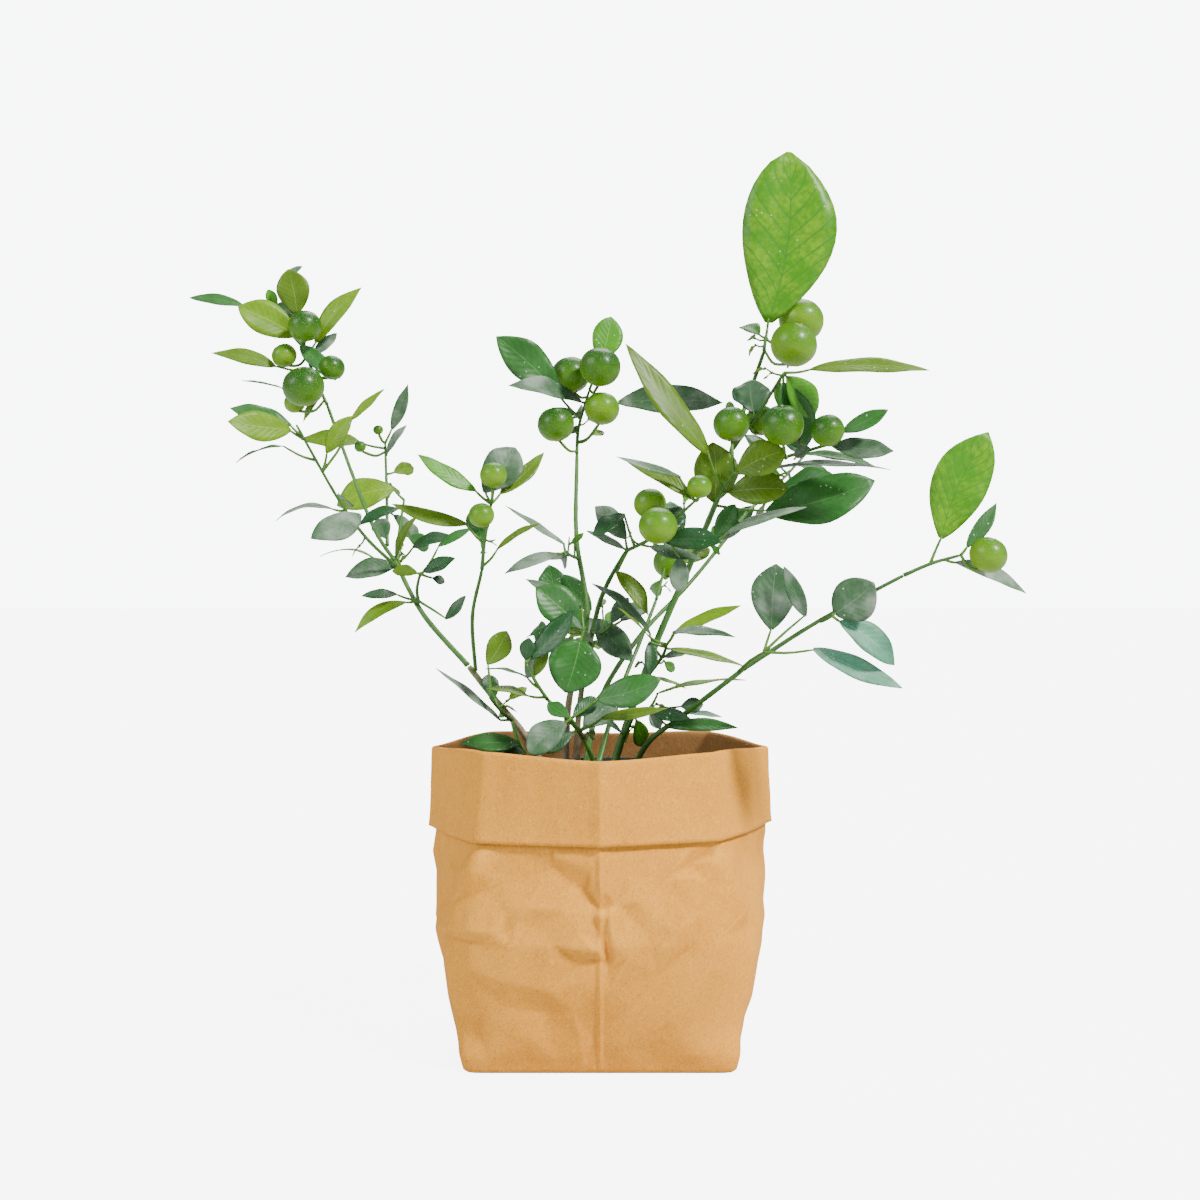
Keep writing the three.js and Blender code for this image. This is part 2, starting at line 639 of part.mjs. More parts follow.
function leafFrame(root, row, swing) {
  const [, clock, lean, stalk, length, width, face, arch, turn] = row;
  const aim = aimOf(clock, lean + swing);
  const up = new THREE.Vector3(0, 0, 1);
  if (Math.abs(aim.z) > 0.9) up.set(0, -1, 0);
  const level = up.clone().addScaledVector(aim, -up.dot(aim)).normalize();
  const front = new THREE.Vector3(0, -1, 0);
  const facing = front.clone().addScaledVector(aim, -front.dot(aim)).normalize();
  const normal = level.multiplyScalar(Math.cos(radians(face)));
  normal.addScaledVector(facing, Math.sin(radians(face)));
  normal.addScaledVector(aim, -normal.dot(aim)).normalize();
  const side = new THREE.Vector3().crossVectors(aim, normal);
  const base = root.clone().addScaledVector(aimOf(clock + turn, lean + swing), stalk);
  const breadth = width / length;
  const slimness = shareBetween(breadth, leafShape.slim, leafShape.broad);
  const roundness = shareBetween(breadth, leafShape.nearlyRound, leafShape.round);
  const fullness = mix(...leafShape.fullness, slimness);
  const widestShift = mix(...leafShape.widestShift, slimness * (1 - roundness));
  const isSharp = Math.abs(turn) > leafShape.sharpTurn;
  return { root, base, isSharp, aim, normal, side, stalk, length, width, arch, fullness, widestShift };
}

function leafHalfWidth(leaf, along) {
  if (along <= 0 || along >= 1) return 0;
  return 0.5 * leaf.width * Math.sin(Math.PI * along ** leaf.widestShift) ** leaf.fullness;
}

function leafPoint(leaf, along, across) {
  const half = leafHalfWidth(leaf, along);
  const rise = leaf.arch * leaf.length * along * (1 - along);
  const edge = leaf.fold * half * across * across;
  return leaf.base.clone()
    .addScaledVector(leaf.aim, leaf.length * along)
    .addScaledVector(leaf.normal, rise + edge)
    .addScaledVector(leaf.side, half * across);
}

function leafSamples(leaf) {
  const rows = Math.max(3, Math.ceil(leaf.length / spacing.sampleStep));
  const samples = [];
  for (let i = 1; i <= rows; i += 1) {
    const along = i / rows;
    for (const across of i === rows ? [0] : [-1, 0, 1]) samples.push(leafPoint(leaf, along, across));
  }
  return samples;
}

// The stalk beyond the crowded place where it leaves its twig
function stalkSamples(leaf) {
  const samples = [];
  for (let reach = spacing.stalkClear; reach <= leaf.stalk; reach += spacing.sampleStep) {
    samples.push(leaf.root.clone().lerp(leaf.base, reach / leaf.stalk));
  }
  return samples;
}

function leafSolid(leaf) {
  const middles = Math.max(1, Math.round(leaf.length / leafShape.stationSpacing));
  const stations = [0, leafShape.bladeStart];
  for (let i = 1; i <= middles; i += 1) stations.push(i / (middles + 1));
  stations.push(1);
  const thick = Math.max(leafShape.thickness, leafShape.thicknessRatio * leaf.length);
  const rod = new THREE.CylinderGeometry(1, 1, 1, leafShape.sides, stations.length - 1);
  const blade = toSolid(moveVertices(rod, (point) => {
    const station = Math.round((point.y + 0.5) * (stations.length - 1));
    const along = stations[station];
    const bladeHalf = leafHalfWidth(leaf, along);
    const isBlade = bladeHalf > leafShape.stalkRadius;
    const isTip = station === stations.length - 1;
    const across = -Math.sign(Math.round(point.x));
    const isRoot = station === 0 && !leaf.isSharp;
    const place = isRoot ? leaf.root.clone() : leafPoint(leaf, along, isBlade ? across : 0);
    if (isBlade && across === 0) place.addScaledVector(leaf.normal, -thick * Math.round(point.z));
    if (!isBlade && !isTip) {
      place.addScaledVector(leaf.side, -point.x * leafShape.stalkRadius);
      place.addScaledVector(leaf.normal, -point.z * leafShape.stalkRadius);
    }
    point.copy(place);
  }));
  if (!leaf.isSharp) return blade;
  const path = new THREE.LineCurve3(leaf.root, leafPoint(leaf, leafShape.stalkSink, 0));
  return blade.add(toSolid(bentRod(path, () => leafShape.stalkRadius, leafShape.sides, 1, false)));
}

// Fruit

function fruitSolid(fruit) {
  const ball = new THREE.IcosahedronGeometry(fruit.radius, 1);
  ball.scale(1, 1, fruitShape.flatness);
  ball.translate(fruit.middle.x, fruit.middle.y, fruit.middle.z);
  const path = new THREE.LineCurve3(fruit.root, fruit.middle);
  return toSolid(ball).add(toSolid(bentRod(path, () => fruitShape.stalkRadius, 3, 1, false)));
}

// What is taken already, so that no spray touches wood or another spray

const takenWood = [];
const takenLeaves = [];

function claimWood(owner, curve, radiusAt) {
  const steps = Math.ceil(curve.getLength() / 2);
  for (let i = 0; i <= steps; i += 1) {
    takenWood.push({ owner, point: curve.getPoint(i / steps), radius: radiusAt(i / steps) });
  }
}

function claimBall(owner, middle, radius) {
  takenWood.push({ owner, point: middle, radius });
}

function isFree(samples, owner, clearOfOwn) {
  const counts = (item) => item.owner !== owner || clearOfOwn;
  const woodFree = takenWood.filter(counts).every(({ point, radius }) => (
    samples.every((sample) => sample.distanceTo(point) > radius + spacing.leafToWood)
  ));
  return woodFree && takenLeaves.filter(counts).every(({ point }) => (
    samples.every((sample) => sample.distanceTo(point) > spacing.leafToLeaf)
  ));
}

// Sprays

function placeLeaf(name, spray, row, random, tries, clearOfOwn) {
  const root = spray.curve.getPoint(Math.max(row[0], spacing.rootSink / spray.curve.getLength()));
  const fold = mix(leafShape.leastFold, leafShape.mostFold, random());
  for (let attempt = 0; attempt < tries; attempt += 1) {
    const swing = Math.ceil(attempt / 2) * (attempt % 2 ? 1 : -1) * spacing.nudge;
    const leaf = { ...leafFrame(root, row, swing), fold };
    const samples = leafSamples(leaf);
    const stalk = stalkSamples(leaf);
    if (isFree(samples, name, clearOfOwn) && isFree(stalk, name, false)) {
      [...samples, ...stalk].forEach((point) => takenLeaves.push({ owner: name, point }));
      return leaf;
    }
  }
  return null;
}

function fillRow(spray, random) {
  const length = mix(fillRule.shortest, fillRule.longest, random());
  const width = length * mix(fillRule.slimmest, fillRule.broadest, random());
  const lean = spray.fillLean + fillRule.leanSpread * (random() - 0.5);
  const place = mix(0.25, 1, random());
  const arch = mix(leafShape.leastArch, leafShape.mostArch, random());
  return [place, 360 * random(), lean, mix(3, 7, random()), length, width, mix(30, 80, random()), arch, 0];
}

function growSpray(name, spray) {
  const random = seeded(spray.seed);
  spray.grown = [];
  for (const row of spray.leaves) {
    const leaf = placeLeaf(name, spray, row, random, spacing.tries, true)
      ?? placeLeaf(name, spray, row, random, spacing.tries, false);
    if (leaf) spray.grown.push(leaf);
  }
}

function fillSpray(name, spray) {
  const random = seeded(spray.seed + 1000);
  const middle = spray.curve.getPoint(0.5);
  for (let i = 0; i < spray.fill * 3 && spray.added < spray.fill; i += 1) {
    const row = fillRow(spray, random);
    const tip = spray.curve.getPoint(row[0]).addScaledVector(aimOf(row[1], row[2]), row[3] + row[4]);
    const leaf = tip.distanceTo(middle) < spray.reach ? placeLeaf(name, spray, row, random, 1, true) : null;
    if (leaf) {
      spray.grown.push(leaf);
      spray.added += 1;
    }
  }
}

function twigRadius(along) {
  return mix(0.85, 0.6, along);
}

function makeSpray(spray) {
  const steps = Math.max(2, Math.round(spray.curve.getLength() / 14));
  const twig = toSolid(bentRod(spray.curve, twigRadius, leafShape.sides, steps, false));
  const solids = [...spray.grown.map(leafSolid), ...spray.hung.map(fruitSolid)];
  const joined = solids.reduce((whole, solid) => whole.add(solid), twig);
  const pieces = joined.decompose();
  return pieces.reduce((largest, piece) => (piece.volume() > largest.volume() ? piece : largest));
}

// Materials

const kraft = new THREE.MeshStandardMaterial({ color: "#d9ab76", roughness: 0.85, metalness: 0 });
const blackPlastic = new THREE.MeshStandardMaterial({ color: "#1d1d1c", roughness: 0.5, metalness: 0 });
const pottingMix = new THREE.MeshStandardMaterial({ color: "#3b2c20", roughness: 1, metalness: 0 });
const bark = new THREE.MeshStandardMaterial({ color: "#7d7a4a", roughness: 0.8, metalness: 0 });
const foliage = new THREE.MeshStandardMaterial({ color: "#5c8f34", roughness: 0.45, metalness: 0 });

// The whole object

const group = new THREE.Group();

function addPiece(parent, name, solid, material) {
  const mesh = new THREE.Mesh(toGeometry(solid), material);
  mesh.name = name;
  parent.add(mesh);
}

const container = new THREE.Group();
addPiece(container, "kraft_bag", makeBag(), kraft);
addPiece(container, "folded_cuff", makeCuff(), kraft);
addPiece(container, "nursery_pot", makePot(), blackPlastic);
addPiece(container, "potting_mix", makeSoil(), pottingMix);
group.add(container);

const wood = new THREE.Group();
for (const [name, limb] of Object.entries(limbs)) {
  limb.curve = limbCurve(limb);
  claimWood(name, limb.curve, (along) => limbRadius(limb, along));
  addPiece(wood, name, makeLimb(limb), bark);
}
group.add(wood);

for (const [name, spray] of Object.entries(sprays)) {
  spray.added = 0;
  spray.radii = [twigRadius(0), twigRadius(1)];
  spray.curve = limbCurve(spray);
  claimWood(name, spray.curve, twigRadius);
  spray.hung = spray.fruit.map(([place, clock, lean, distance, radius]) => {
    const root = spray.curve.getPoint(place);
    return { root, middle: root.clone().addScaledVector(aimOf(clock, lean), distance), radius };
  });
  spray.hung.forEach(({ middle, radius }) => claimBall(name, middle, radius));
}
for (const [name, spray] of Object.entries(sprays)) growSpray(name, spray);
for (const [name, spray] of Object.entries(sprays)) fillSpray(name, spray);

const crown = new THREE.Group();
for (const [name, spray] of Object.entries(sprays)) addPiece(crown, name, makeSpray(spray), foliage);
group.add(crown);

export default group;
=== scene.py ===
import math

import bmesh
import bpy
import numpy as np
from mathutils import Matrix, Vector, geometry, noise


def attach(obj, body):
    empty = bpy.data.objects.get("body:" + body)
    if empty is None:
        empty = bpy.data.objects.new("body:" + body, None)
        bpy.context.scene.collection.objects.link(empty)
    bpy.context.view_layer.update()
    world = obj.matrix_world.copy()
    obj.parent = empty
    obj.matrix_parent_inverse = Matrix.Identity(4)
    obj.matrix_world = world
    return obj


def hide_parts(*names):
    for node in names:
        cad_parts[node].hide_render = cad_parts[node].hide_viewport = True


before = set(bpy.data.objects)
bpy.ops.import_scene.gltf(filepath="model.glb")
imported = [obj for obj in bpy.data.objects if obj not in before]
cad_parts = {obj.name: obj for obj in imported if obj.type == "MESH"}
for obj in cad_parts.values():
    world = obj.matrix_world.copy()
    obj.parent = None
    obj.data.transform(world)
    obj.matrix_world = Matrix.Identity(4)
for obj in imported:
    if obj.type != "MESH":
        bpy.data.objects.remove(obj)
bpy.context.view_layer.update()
print("frame loaded:", len(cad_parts), "solids")

mm = 0.001  # sizes below are millimetres, meshes are metres


# small tools

def mix(low, high, share):
    return low + (high - low) * share


def shareOf(low, high, value):
    return min(1.0, max(0.0, (value - low) / (high - low)))


def smooth(low, high, value):
    share = shareOf(low, high, value)
    return share * share * (3 - 2 * share)


drawRule = {"factor": 16807, "size": 2147483647}


def seeded(seed):  # the same run of numbers as the crown's solids are grown with
    state = [seed]

    def draw():
        state[0] = (state[0] * drawRule["factor"]) % drawRule["size"]
        return state[0] / drawRule["size"]
    return draw


def addObject(name, data):
    made = bpy.data.objects.new(name, data)
    bpy.context.collection.objects.link(made)
    return made


def makePiece(name, bm, materials, nodes, smoothShade=True):
    mesh = bpy.data.meshes.new(name)
    bm.to_mesh(mesh)
    bm.free()
    mesh.transform(Matrix.Scale(mm, 4))
    for material in materials:
        mesh.materials.append(material)
    mesh.polygons.foreach_set("use_smooth", [smoothShade] * len(mesh.polygons))
    piece = addObject(name, mesh)
    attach(piece, "root")
    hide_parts(*nodes)
    return piece


def addSolidify(piece, thickness, offset, materialShift):
    shell = piece.modifiers.new("paper", "SOLIDIFY")
    shell.thickness = thickness * mm
    shell.offset = offset
    shell.material_offset = materialShift


def paint(bm, before, material):  # every face made since there were as many as before
    bm.faces.ensure_lookup_table()
    for face in bm.faces[before:]:
        face.material_index = material


class Net:  # the nodes of one shader, each fed with numbers, colours or what other nodes give
    def __init__(self, tree):
        self.tree = tree

    def feed(self, socket, value):
        if isinstance(value, bpy.types.NodeSocket):
            self.tree.links.new(value, socket)
        elif isinstance(value, tuple) and len(value) < len(socket.default_value):
            socket.default_value = (*value, 1)
        elif value is not None:
            socket.default_value = value

    def add(self, kind, **values):
        node = self.tree.nodes.new("ShaderNode" + kind)
        for label, value in values.items():
            if hasattr(node, label):
                setattr(node, label, value)
            else:
                self.feed(node.inputs[label.replace("_", " ")], value)
        return node

    def inOrder(self, node, *values):
        for socket, value in zip(node.inputs, values):
            self.feed(socket, value)
        return node.outputs[0]

    def math(self, operation, *values, clamp=False):
        return self.inOrder(self.add("Math", operation=operation, use_clamp=clamp), *values)

    def times(self, first, second):
        return self.math("MULTIPLY", first, second)

    def blend(self, factor, first, second):
        node = self.add("Mix", data_type="RGBA")
        for index, value in ((0, factor), (6, first), (7, second)):
            self.feed(node.inputs[index], value)
        return node.outputs[2]

    def ramp(self, value, low, high, toLow=0.0, toHigh=1.0):
        node = self.add("MapRange", interpolation_type="SMOOTHSTEP")
        return self.inOrder(node, value, low, high, toLow, toHigh)

    def place(self, scale=None):  # where on the object, drawn out if a scale is given
        spot = self.add("TexCoord").outputs["Object"]
        return self.add("Mapping", Vector=spot, Scale=scale).outputs[0] if scale else spot

    def noise(self, scale, detail=3.0, roughness=0.55, stretch=None):
        given = {"Scale": scale, "Detail": detail, "Roughness": roughness}
        return self.add("TexNoise", Vector=self.place(stretch), **given).outputs["Fac"]

    def cells(self, scale):
        return self.add("TexVoronoi", Vector=self.place(), Scale=scale).outputs["Distance"]

    def part(self, vector, index):
        return self.add("SeparateXYZ", Vector=vector).outputs[index]

    def cameraOnly(self, otherwise, seen):  # one strength for the plant, another for the camera
        ray = self.add("LightPath").outputs["Is Camera Ray"]
        return self.add("MapRange", Value=ray, To_Min=otherwise, To_Max=seen).outputs[0]

    def use(self, rule, **values):
        return self.add("Group", node_tree=groups[rule], **values).outputs

    def mottle(self, ground, patch, scale, amount):
        return self.use("mottle", Color=ground, Patch=patch, Scale=scale, Amount=amount)["Color"]


class Finish(Net):  # one material
    def __init__(self, name, roughness, specular=0.5, coat=0.0, coatRoughness=0.1):
        self.material = bpy.data.materials.new(name)
        self.material.use_nodes = True
        super().__init__(self.material.node_tree)
        self.shader = self.tree.nodes["Principled BSDF"].inputs
        self.give(Roughness=roughness, Specular_IOR_Level=specular)
        self.give(Coat_Weight=coat, Coat_Roughness=coatRoughness)

    def give(self, **values):
        for label, value in values.items():
            self.feed(self.shader[label.replace("_", " ")], value)

    def done(self, color, height, distance, strength, roughness=None):
        bump = self.add("Bump", Height=height, Distance=distance * mm, Strength=strength).outputs[0]
        self.give(Base_Color=color, Roughness=roughness, Normal=bump)
        return self.material


# camera level with the crown, a pale floor and soft light

cameraSet = {"distance": 765, "height": 197.3, "halfFrame": 600 / 1700, "sensor": 36, "nearest": 0.01}
lightSet = {  # heading in degrees round from the front, climb above the floor, spread of the soft lamp
    "key": {"heading": 50, "climb": 42, "spread": 10, "power": 5.7, "color": (1.0, 0.985, 0.96)},
    "fill": {"heading": -58, "climb": 28, "spread": 30, "power": 1.7, "color": (0.95, 0.975, 1.0)},
    "back": {"heading": 170, "climb": 55, "spread": 35, "power": 1.9, "color": (1.0, 1.0, 1.0)},
}
worldSet = {"color": (0.95, 0.97, 1.0), "glow": 0.42, "backdrop": 8.5}
floorSet = {
    "color": (0.55, 0.555, 0.56), "roughness": 0.6, "halfSize": 40.0,
    "shine": (0.985, 0.99, 1.0), "glow": 6.4,
}


def buildStage():
    cameraData = bpy.data.cameras.new("camera")
    cameraData.sensor_width = cameraSet["sensor"]
    cameraData.lens = cameraSet["sensor"] / 2 / cameraSet["halfFrame"]
    cameraData.clip_start = cameraSet["nearest"]
    camera = addObject("camera", cameraData)
    camera.location = (0, -cameraSet["distance"] * mm, cameraSet["height"] * mm)
    camera.rotation_euler = (math.radians(90), 0, 0)
    bpy.context.scene.camera = camera
    for name, values in lightSet.items():
        lamp = bpy.data.lights.new(name, "SUN")
        lamp.angle = math.radians(values["spread"])
        lamp.energy = values["power"]
        lamp.color = values["color"]
        turn = (math.radians(90 - values["climb"]), 0, math.radians(values["heading"]))
        addObject(name, lamp).rotation_euler = turn
    world = bpy.data.worlds.new("studio")
    world.use_nodes = True
    sky, background = Net(world.node_tree), world.node_tree.nodes["Background"].inputs
    sky.feed(background["Color"], worldSet["color"])
    sky.feed(background["Strength"], sky.cameraOnly(worldSet["glow"], worldSet["backdrop"]))
    bpy.context.scene.world = world
    bm = bmesh.new()
    bmesh.ops.create_grid(bm, x_segments=1, y_segments=1, size=floorSet["halfSize"])
    mesh = bpy.data.meshes.new("floor")
    bm.to_mesh(mesh)
    bm.free()
    cover = Finish("floorPaint", floorSet["roughness"])
    glow = cover.cameraOnly(0.0, floorSet["glow"])
    cover.give(Base_Color=floorSet["color"], Emission_Color=floorSet["shine"], Emission_Strength=glow)
    mesh.materials.append(cover.material)
    addObject("floor", mesh)


buildStage()
print("stage ready")


# shader groups, each an effect that several finishes share

def mottle(net, given):  # soft uneven patches, darker or lighter than the ground
    share = net.times(net.ramp(net.noise(given["Scale"], 4.0, 0.6), 0.36, 0.66), given["Amount"])
    return {"Color": net.blend(share, given["Color"], given["Patch"])}


def dust(net, given):  # pale specks of dried water and dust
    dots = net.ramp(net.cells(420.0), 0.1, 0.17, 1.0, 0.0)
    some = net.ramp(net.noise(90.0, 2.0), 0.56, 0.62)
    film = net.times(net.ramp(net.noise(55.0, 5.0), 0.42, 0.75), given["Film"])
    mask = net.math("MAXIMUM", net.times(net.times(dots, some), 0.7), film)
    return {"Color": net.blend(mask, given["Color"], given["Speck"]), "Mask": mask}


def leafVeins(net, given):  # midrib and arching side veins, along U and across V of the leaf's own map
    spot = net.add("UVMap").outputs[0]
    along, across = net.part(spot, 0), net.part(spot, 1)
    fromMiddle = net.math("ABSOLUTE", net.math("SUBTRACT", across, 0.5))
    ribWidth = net.math("MULTIPLY_ADD", along, -0.018, 0.028)
    rib = net.math("SUBTRACT", 1.0, net.math("DIVIDE", fromMiddle, ribWidth), clamp=True)
    wave = net.math("SUBTRACT", along, net.times(fromMiddle, given["Slope"]))
    teeth = net.math("FRACT", net.times(wave, given["Pairs"]))
    nearest = net.math("ABSOLUTE", net.math("SUBTRACT", teeth, 0.5))
    height = net.math("SUBTRACT", net.ramp(nearest, 0.0, 0.5), net.times(rib, 0.8))
    side = net.ramp(nearest, 0.02, 0.12, 1.0, 0.0)
    return {"Midrib": net.ramp(rib, 0.25, 0.7), "Side Veins": side, "Height": height}


def pores(net, given):  # fine pits of peel, or of moulded plastic
    pits = net.ramp(net.cells(given["Scale"]), 0.08, 0.38)
    height = net.math("ADD", net.times(pits, given["Depth"]), net.noise(260.0, 4.0))
    return {"Height": height, "Mask": net.math("SUBTRACT", 1.0, pits)}


def makeGroup(rule, colors, numbers):
    group = bpy.data.node_groups.new(rule.__name__, "ShaderNodeTree")
    for label in colors + numbers:
        kind = "NodeSocketColor" if label in colors else "NodeSocketFloat"
        group.interface.new_socket(label, in_out="INPUT", socket_type=kind)
    net = Net(group)
    made = rule(net, group.nodes.new("NodeGroupInput").outputs)
    for label in made:
        kind = "NodeSocketColor" if label == "Color" else "NodeSocketFloat"
        group.interface.new_socket(label, in_out="OUTPUT", socket_type=kind)
    end = group.nodes.new("NodeGroupOutput").inputs
    for label, value in made.items():
        net.feed(end[label], value)
    return group


groups = {
    "mottle": makeGroup(mottle, ["Color", "Patch"], ["Scale", "Amount"]),
    "dust": makeGroup(dust, ["Color", "Speck"], ["Film"]),
    "leafVeins": makeGroup(leafVeins, [], ["Pairs", "Slope"]),
    "pores": makeGroup(pores, [], ["Scale", "Depth"]),
}


# finishes

# outside: the paper's colour where it faces out to the lamps; inside: a darker copy of the same paper,
# painted shade, for the faces turned in
kraftSet = {
    "outside": {"ground": (0.76, 0.315, 0.029), "pale": (0.89, 0.42, 0.056), "dark": (0.48, 0.18, 0.011)},
    "inside": {"ground": (0.36, 0.175, 0.055), "pale": (0.45, 0.24, 0.09), "dark": (0.22, 0.10, 0.03)},
}


def makeKraft(name, side):
    net, tone = Finish(name, 0.85, specular=0.18), kraftSet[side]
    clouds = net.mottle(tone["ground"], tone["pale"], 24.0, 0.3)
    blotch = net.times(net.ramp(net.noise(62.0, 5.0), 0.5, 0.75), 0.22)
    mild = net.blend(blotch, clouds, tone["dark"])
    fibres, grain = net.noise(850.0, 4.0, 0.75, (1.0, 1.0, 0.6)), net.noise(1250.0, 3.0, 0.7)
    pale = net.times(net.ramp(fibres, 0.5, 0.66), 0.75)
    dark = net.times(net.ramp(grain, 0.5, 0.66), 0.62)
    speckled = net.blend(dark, net.blend(pale, mild, tone["pale"]), tone["dark"])
    # painted shade darkens the paper in the valleys of its folds, and a painted highlight lightens it on
    # their ridges
    crease = net.add("Attribute", attribute_name="crease").outputs["Fac"]
    valleyShade, ridge = (net.math("MULTIPLY", crease, share, clamp=True) for share in (0.45, -0.55))
    creaseShadedColor = net.blend(ridge, net.blend(valleyShade, speckled, tone["dark"]), tone["pale"])
    relief = net.math("ADD", net.times(fibres, 0.35), net.noise(160.0, 5.0, 0.62))
    return net.done(creaseShadedColor, relief, 0.6, 0.5)


plasticSet = {"ground": (0.011, 0.0115, 0.012), "dust": (0.09, 0.08, 0.065)}


def makeBlackPlastic():
    net = Finish("blackPlastic", 0.42)
    smear = net.ramp(net.noise(70.0, 6.0), 0.52, 0.8, 0.0, 0.5)
    gloss = net.ramp(net.noise(45.0), 0.3, 0.7, 0.34, 0.55)
    relief = net.use("pores", Scale=1500.0, Depth=0.4)["Height"]
    return net.done(net.blend(smear, plasticSet["ground"], plasticSet["dust"]), relief, 0.06, 0.5, gloss)


earthSet = {"peat": (0.035, 0.021, 0.012), "chip": (0.13, 0.075, 0.04), "root": (0.25, 0.19, 0.12)}
earthLook = {
    "roughness": 0.95, "specular": 0.25, "scale": 160.0, "amount": 0.7,
    "grain": (600.0, 6.0, 0.7), "bump": (1.2, 0.9),
}


def makeMottled(name, ground, patch, look):
    net = Finish(name, look["roughness"], look["specular"])
    color = net.mottle(ground, patch, look["scale"], look["amount"])
    return net.done(color, net.noise(*look["grain"]), *look["bump"])


barkSet = {
    "wood": (0.19, 0.14, 0.075), "woodPatch": (0.34, 0.27, 0.16),
    "green": (0.030, 0.128, 0.010), "greenPatch": (0.075, 0.195, 0.022),
    "shoot": (0.050, 0.17, 0.008), "shootPatch": (0.12, 0.25, 0.020),
    "woodTop": 0.193, "woodFade": 0.03,
}


def makeBark(name, kind, woody):
    net, ground, patch = Finish(name, 0.62 if woody else 0.45), barkSet[kind], barkSet[kind + "Patch"]
    streaks = net.noise(700.0, 4.0, 0.6, (1.0, 1.0, 0.18))
    lines = net.times(net.ramp(streaks, 0.5, 0.68), 0.45)
    color = net.blend(lines, net.mottle(ground, patch, 130.0, 0.6), patch)
    if woody:  # brown and corky near the soil, green further up
        wavy = net.math("MULTIPLY_ADD", net.noise(60.0, 4.0), 0.07, net.part(net.place(), 2))
        top, fade = barkSet["woodTop"], barkSet["woodFade"]
        brown = net.mottle(barkSet["wood"], barkSet["woodPatch"], 240.0, 0.8)
        color = net.blend(net.ramp(wavy, top - fade, top + fade, 1.0, 0.0), color, brown)
    return net.done(color, streaks, 0.35 if woody else 0.18, 0.7)


# Leaf tints, dealt out by leaf: colour of the top, the veins and the underside, dust film, roughness
leafTints = {
    "lime": ((0.155, 0.32, 0.001), (0.30, 0.46, 0.04), (0.27, 0.42, 0.05), 0.0, 0.46),
    "bright": ((0.07, 0.30, 0.005), (0.17, 0.45, 0.05), (0.17, 0.40, 0.05), 0.0, 0.44),
    "fresh": ((0.06, 0.26, 0.0005), (0.038, 0.19, 0.012), (0.15, 0.38, 0.04), 0.0, 0.42),
    "olive": ((0.10, 0.21, 0.002), (0.24, 0.34, 0.06), (0.20, 0.30, 0.04), 0.02, 0.44),
    "mid": ((0.024, 0.145, 0.016), (0.09, 0.26, 0.05), (0.09, 0.23, 0.05), 0.05, 0.42),
    "dark": ((0.010, 0.075, 0.014), (0.06, 0.16, 0.04), (0.06, 0.15, 0.035), 0.08, 0.40),
    "dusty": ((0.045, 0.122, 0.046), (0.12, 0.21, 0.10), (0.11, 0.20, 0.08), 0.36, 0.5),
    "pale": ((0.12, 0.22, 0.12), (0.24, 0.34, 0.21), (0.19, 0.28, 0.17), 0.45, 0.55),
    "teal": ((0.10, 0.34, 0.20), (0.27, 0.50, 0.34), (0.18, 0.36, 0.23), 0.4, 0.5),
}
leafPaint = {
    "patch": 0.72, "fleck": 0.7, "sideVeins": 0.1, "relief": 0.14, "specular": 0.3, "coat": 0.04,
    "speck": (0.62, 0.68, 0.60), "underFilm": 0.3, "underRough": 0.55, "topRib": 0.75, "underRib": 0.5,
}
freshPaint = {"patch": (0.16, 0.38, 0.001), "sideVeins": 0.75}


def makeLeafFinish(name, ground, vein, film, roughness, rib, patch=None, sideVeins=leafPaint["sideVeins"]):
    net = Finish(name, roughness, leafPaint["specular"], leafPaint["coat"], 0.25)
    veins = net.use("leafVeins", Pairs=9.0, Slope=0.55)
    cloud, fleck = (tuple(part * leafPaint[share] for part in ground) for share in ("patch", "fleck"))
    flecked = net.mottle(net.mottle(ground, patch or cloud, 95.0, 0.9), fleck, 480.0, 0.6)
    veined = net.blend(net.times(veins["Side Veins"], sideVeins), flecked, vein)
    ribbed = net.blend(net.times(veins["Midrib"], rib), veined, vein)
    dusted = net.use("dust", Color=ribbed, Speck=leafPaint["speck"], Film=film)
    matt = net.ramp(dusted["Mask"], 0.0, 0.7, roughness, 0.75)
    return net.done(dusted["Color"], veins["Height"], leafPaint["relief"], 0.4, matt)


def makeLeafTop(name):
    top, vein, _, film, rough = leafTints[name]
    more = freshPaint if name == "fresh" else {}
    return makeLeafFinish(name + "Leaf", top, vein, film, rough, leafPaint["topRib"], **more)


def makeLeafUnder(name):
    _, vein, under, film, _ = leafTints[name]
    thin, rough = film * leafPaint["underFilm"], leafPaint["underRough"]
    return makeLeafFinish(name + "Underside", under, vein, thin, rough, leafPaint["underRib"])


fruitSet = {
    "crown": (0.012, 0.078, 0.002), "belly": (0.088, 0.245, 0.001), "blush": (0.19, 0.36, 0.002),
    "pore": (0.20, 0.40, 0.03), "scar": (0.62, 0.55, 0.28),
    "calyx": (0.17, 0.25, 0.05), "calyxEdge": (0.27, 0.20, 0.07),
    "crownFrom": 0.36, "crownTo": 1.18, "blushFrom": 0.2, "blushTo": 0.55, "ripeShift": 0.45,
}
trimLook = {"specular": 0.5, "amount": 0.8, "grain": (900.0, 3.0), "bump": (0.1, 0.5)}


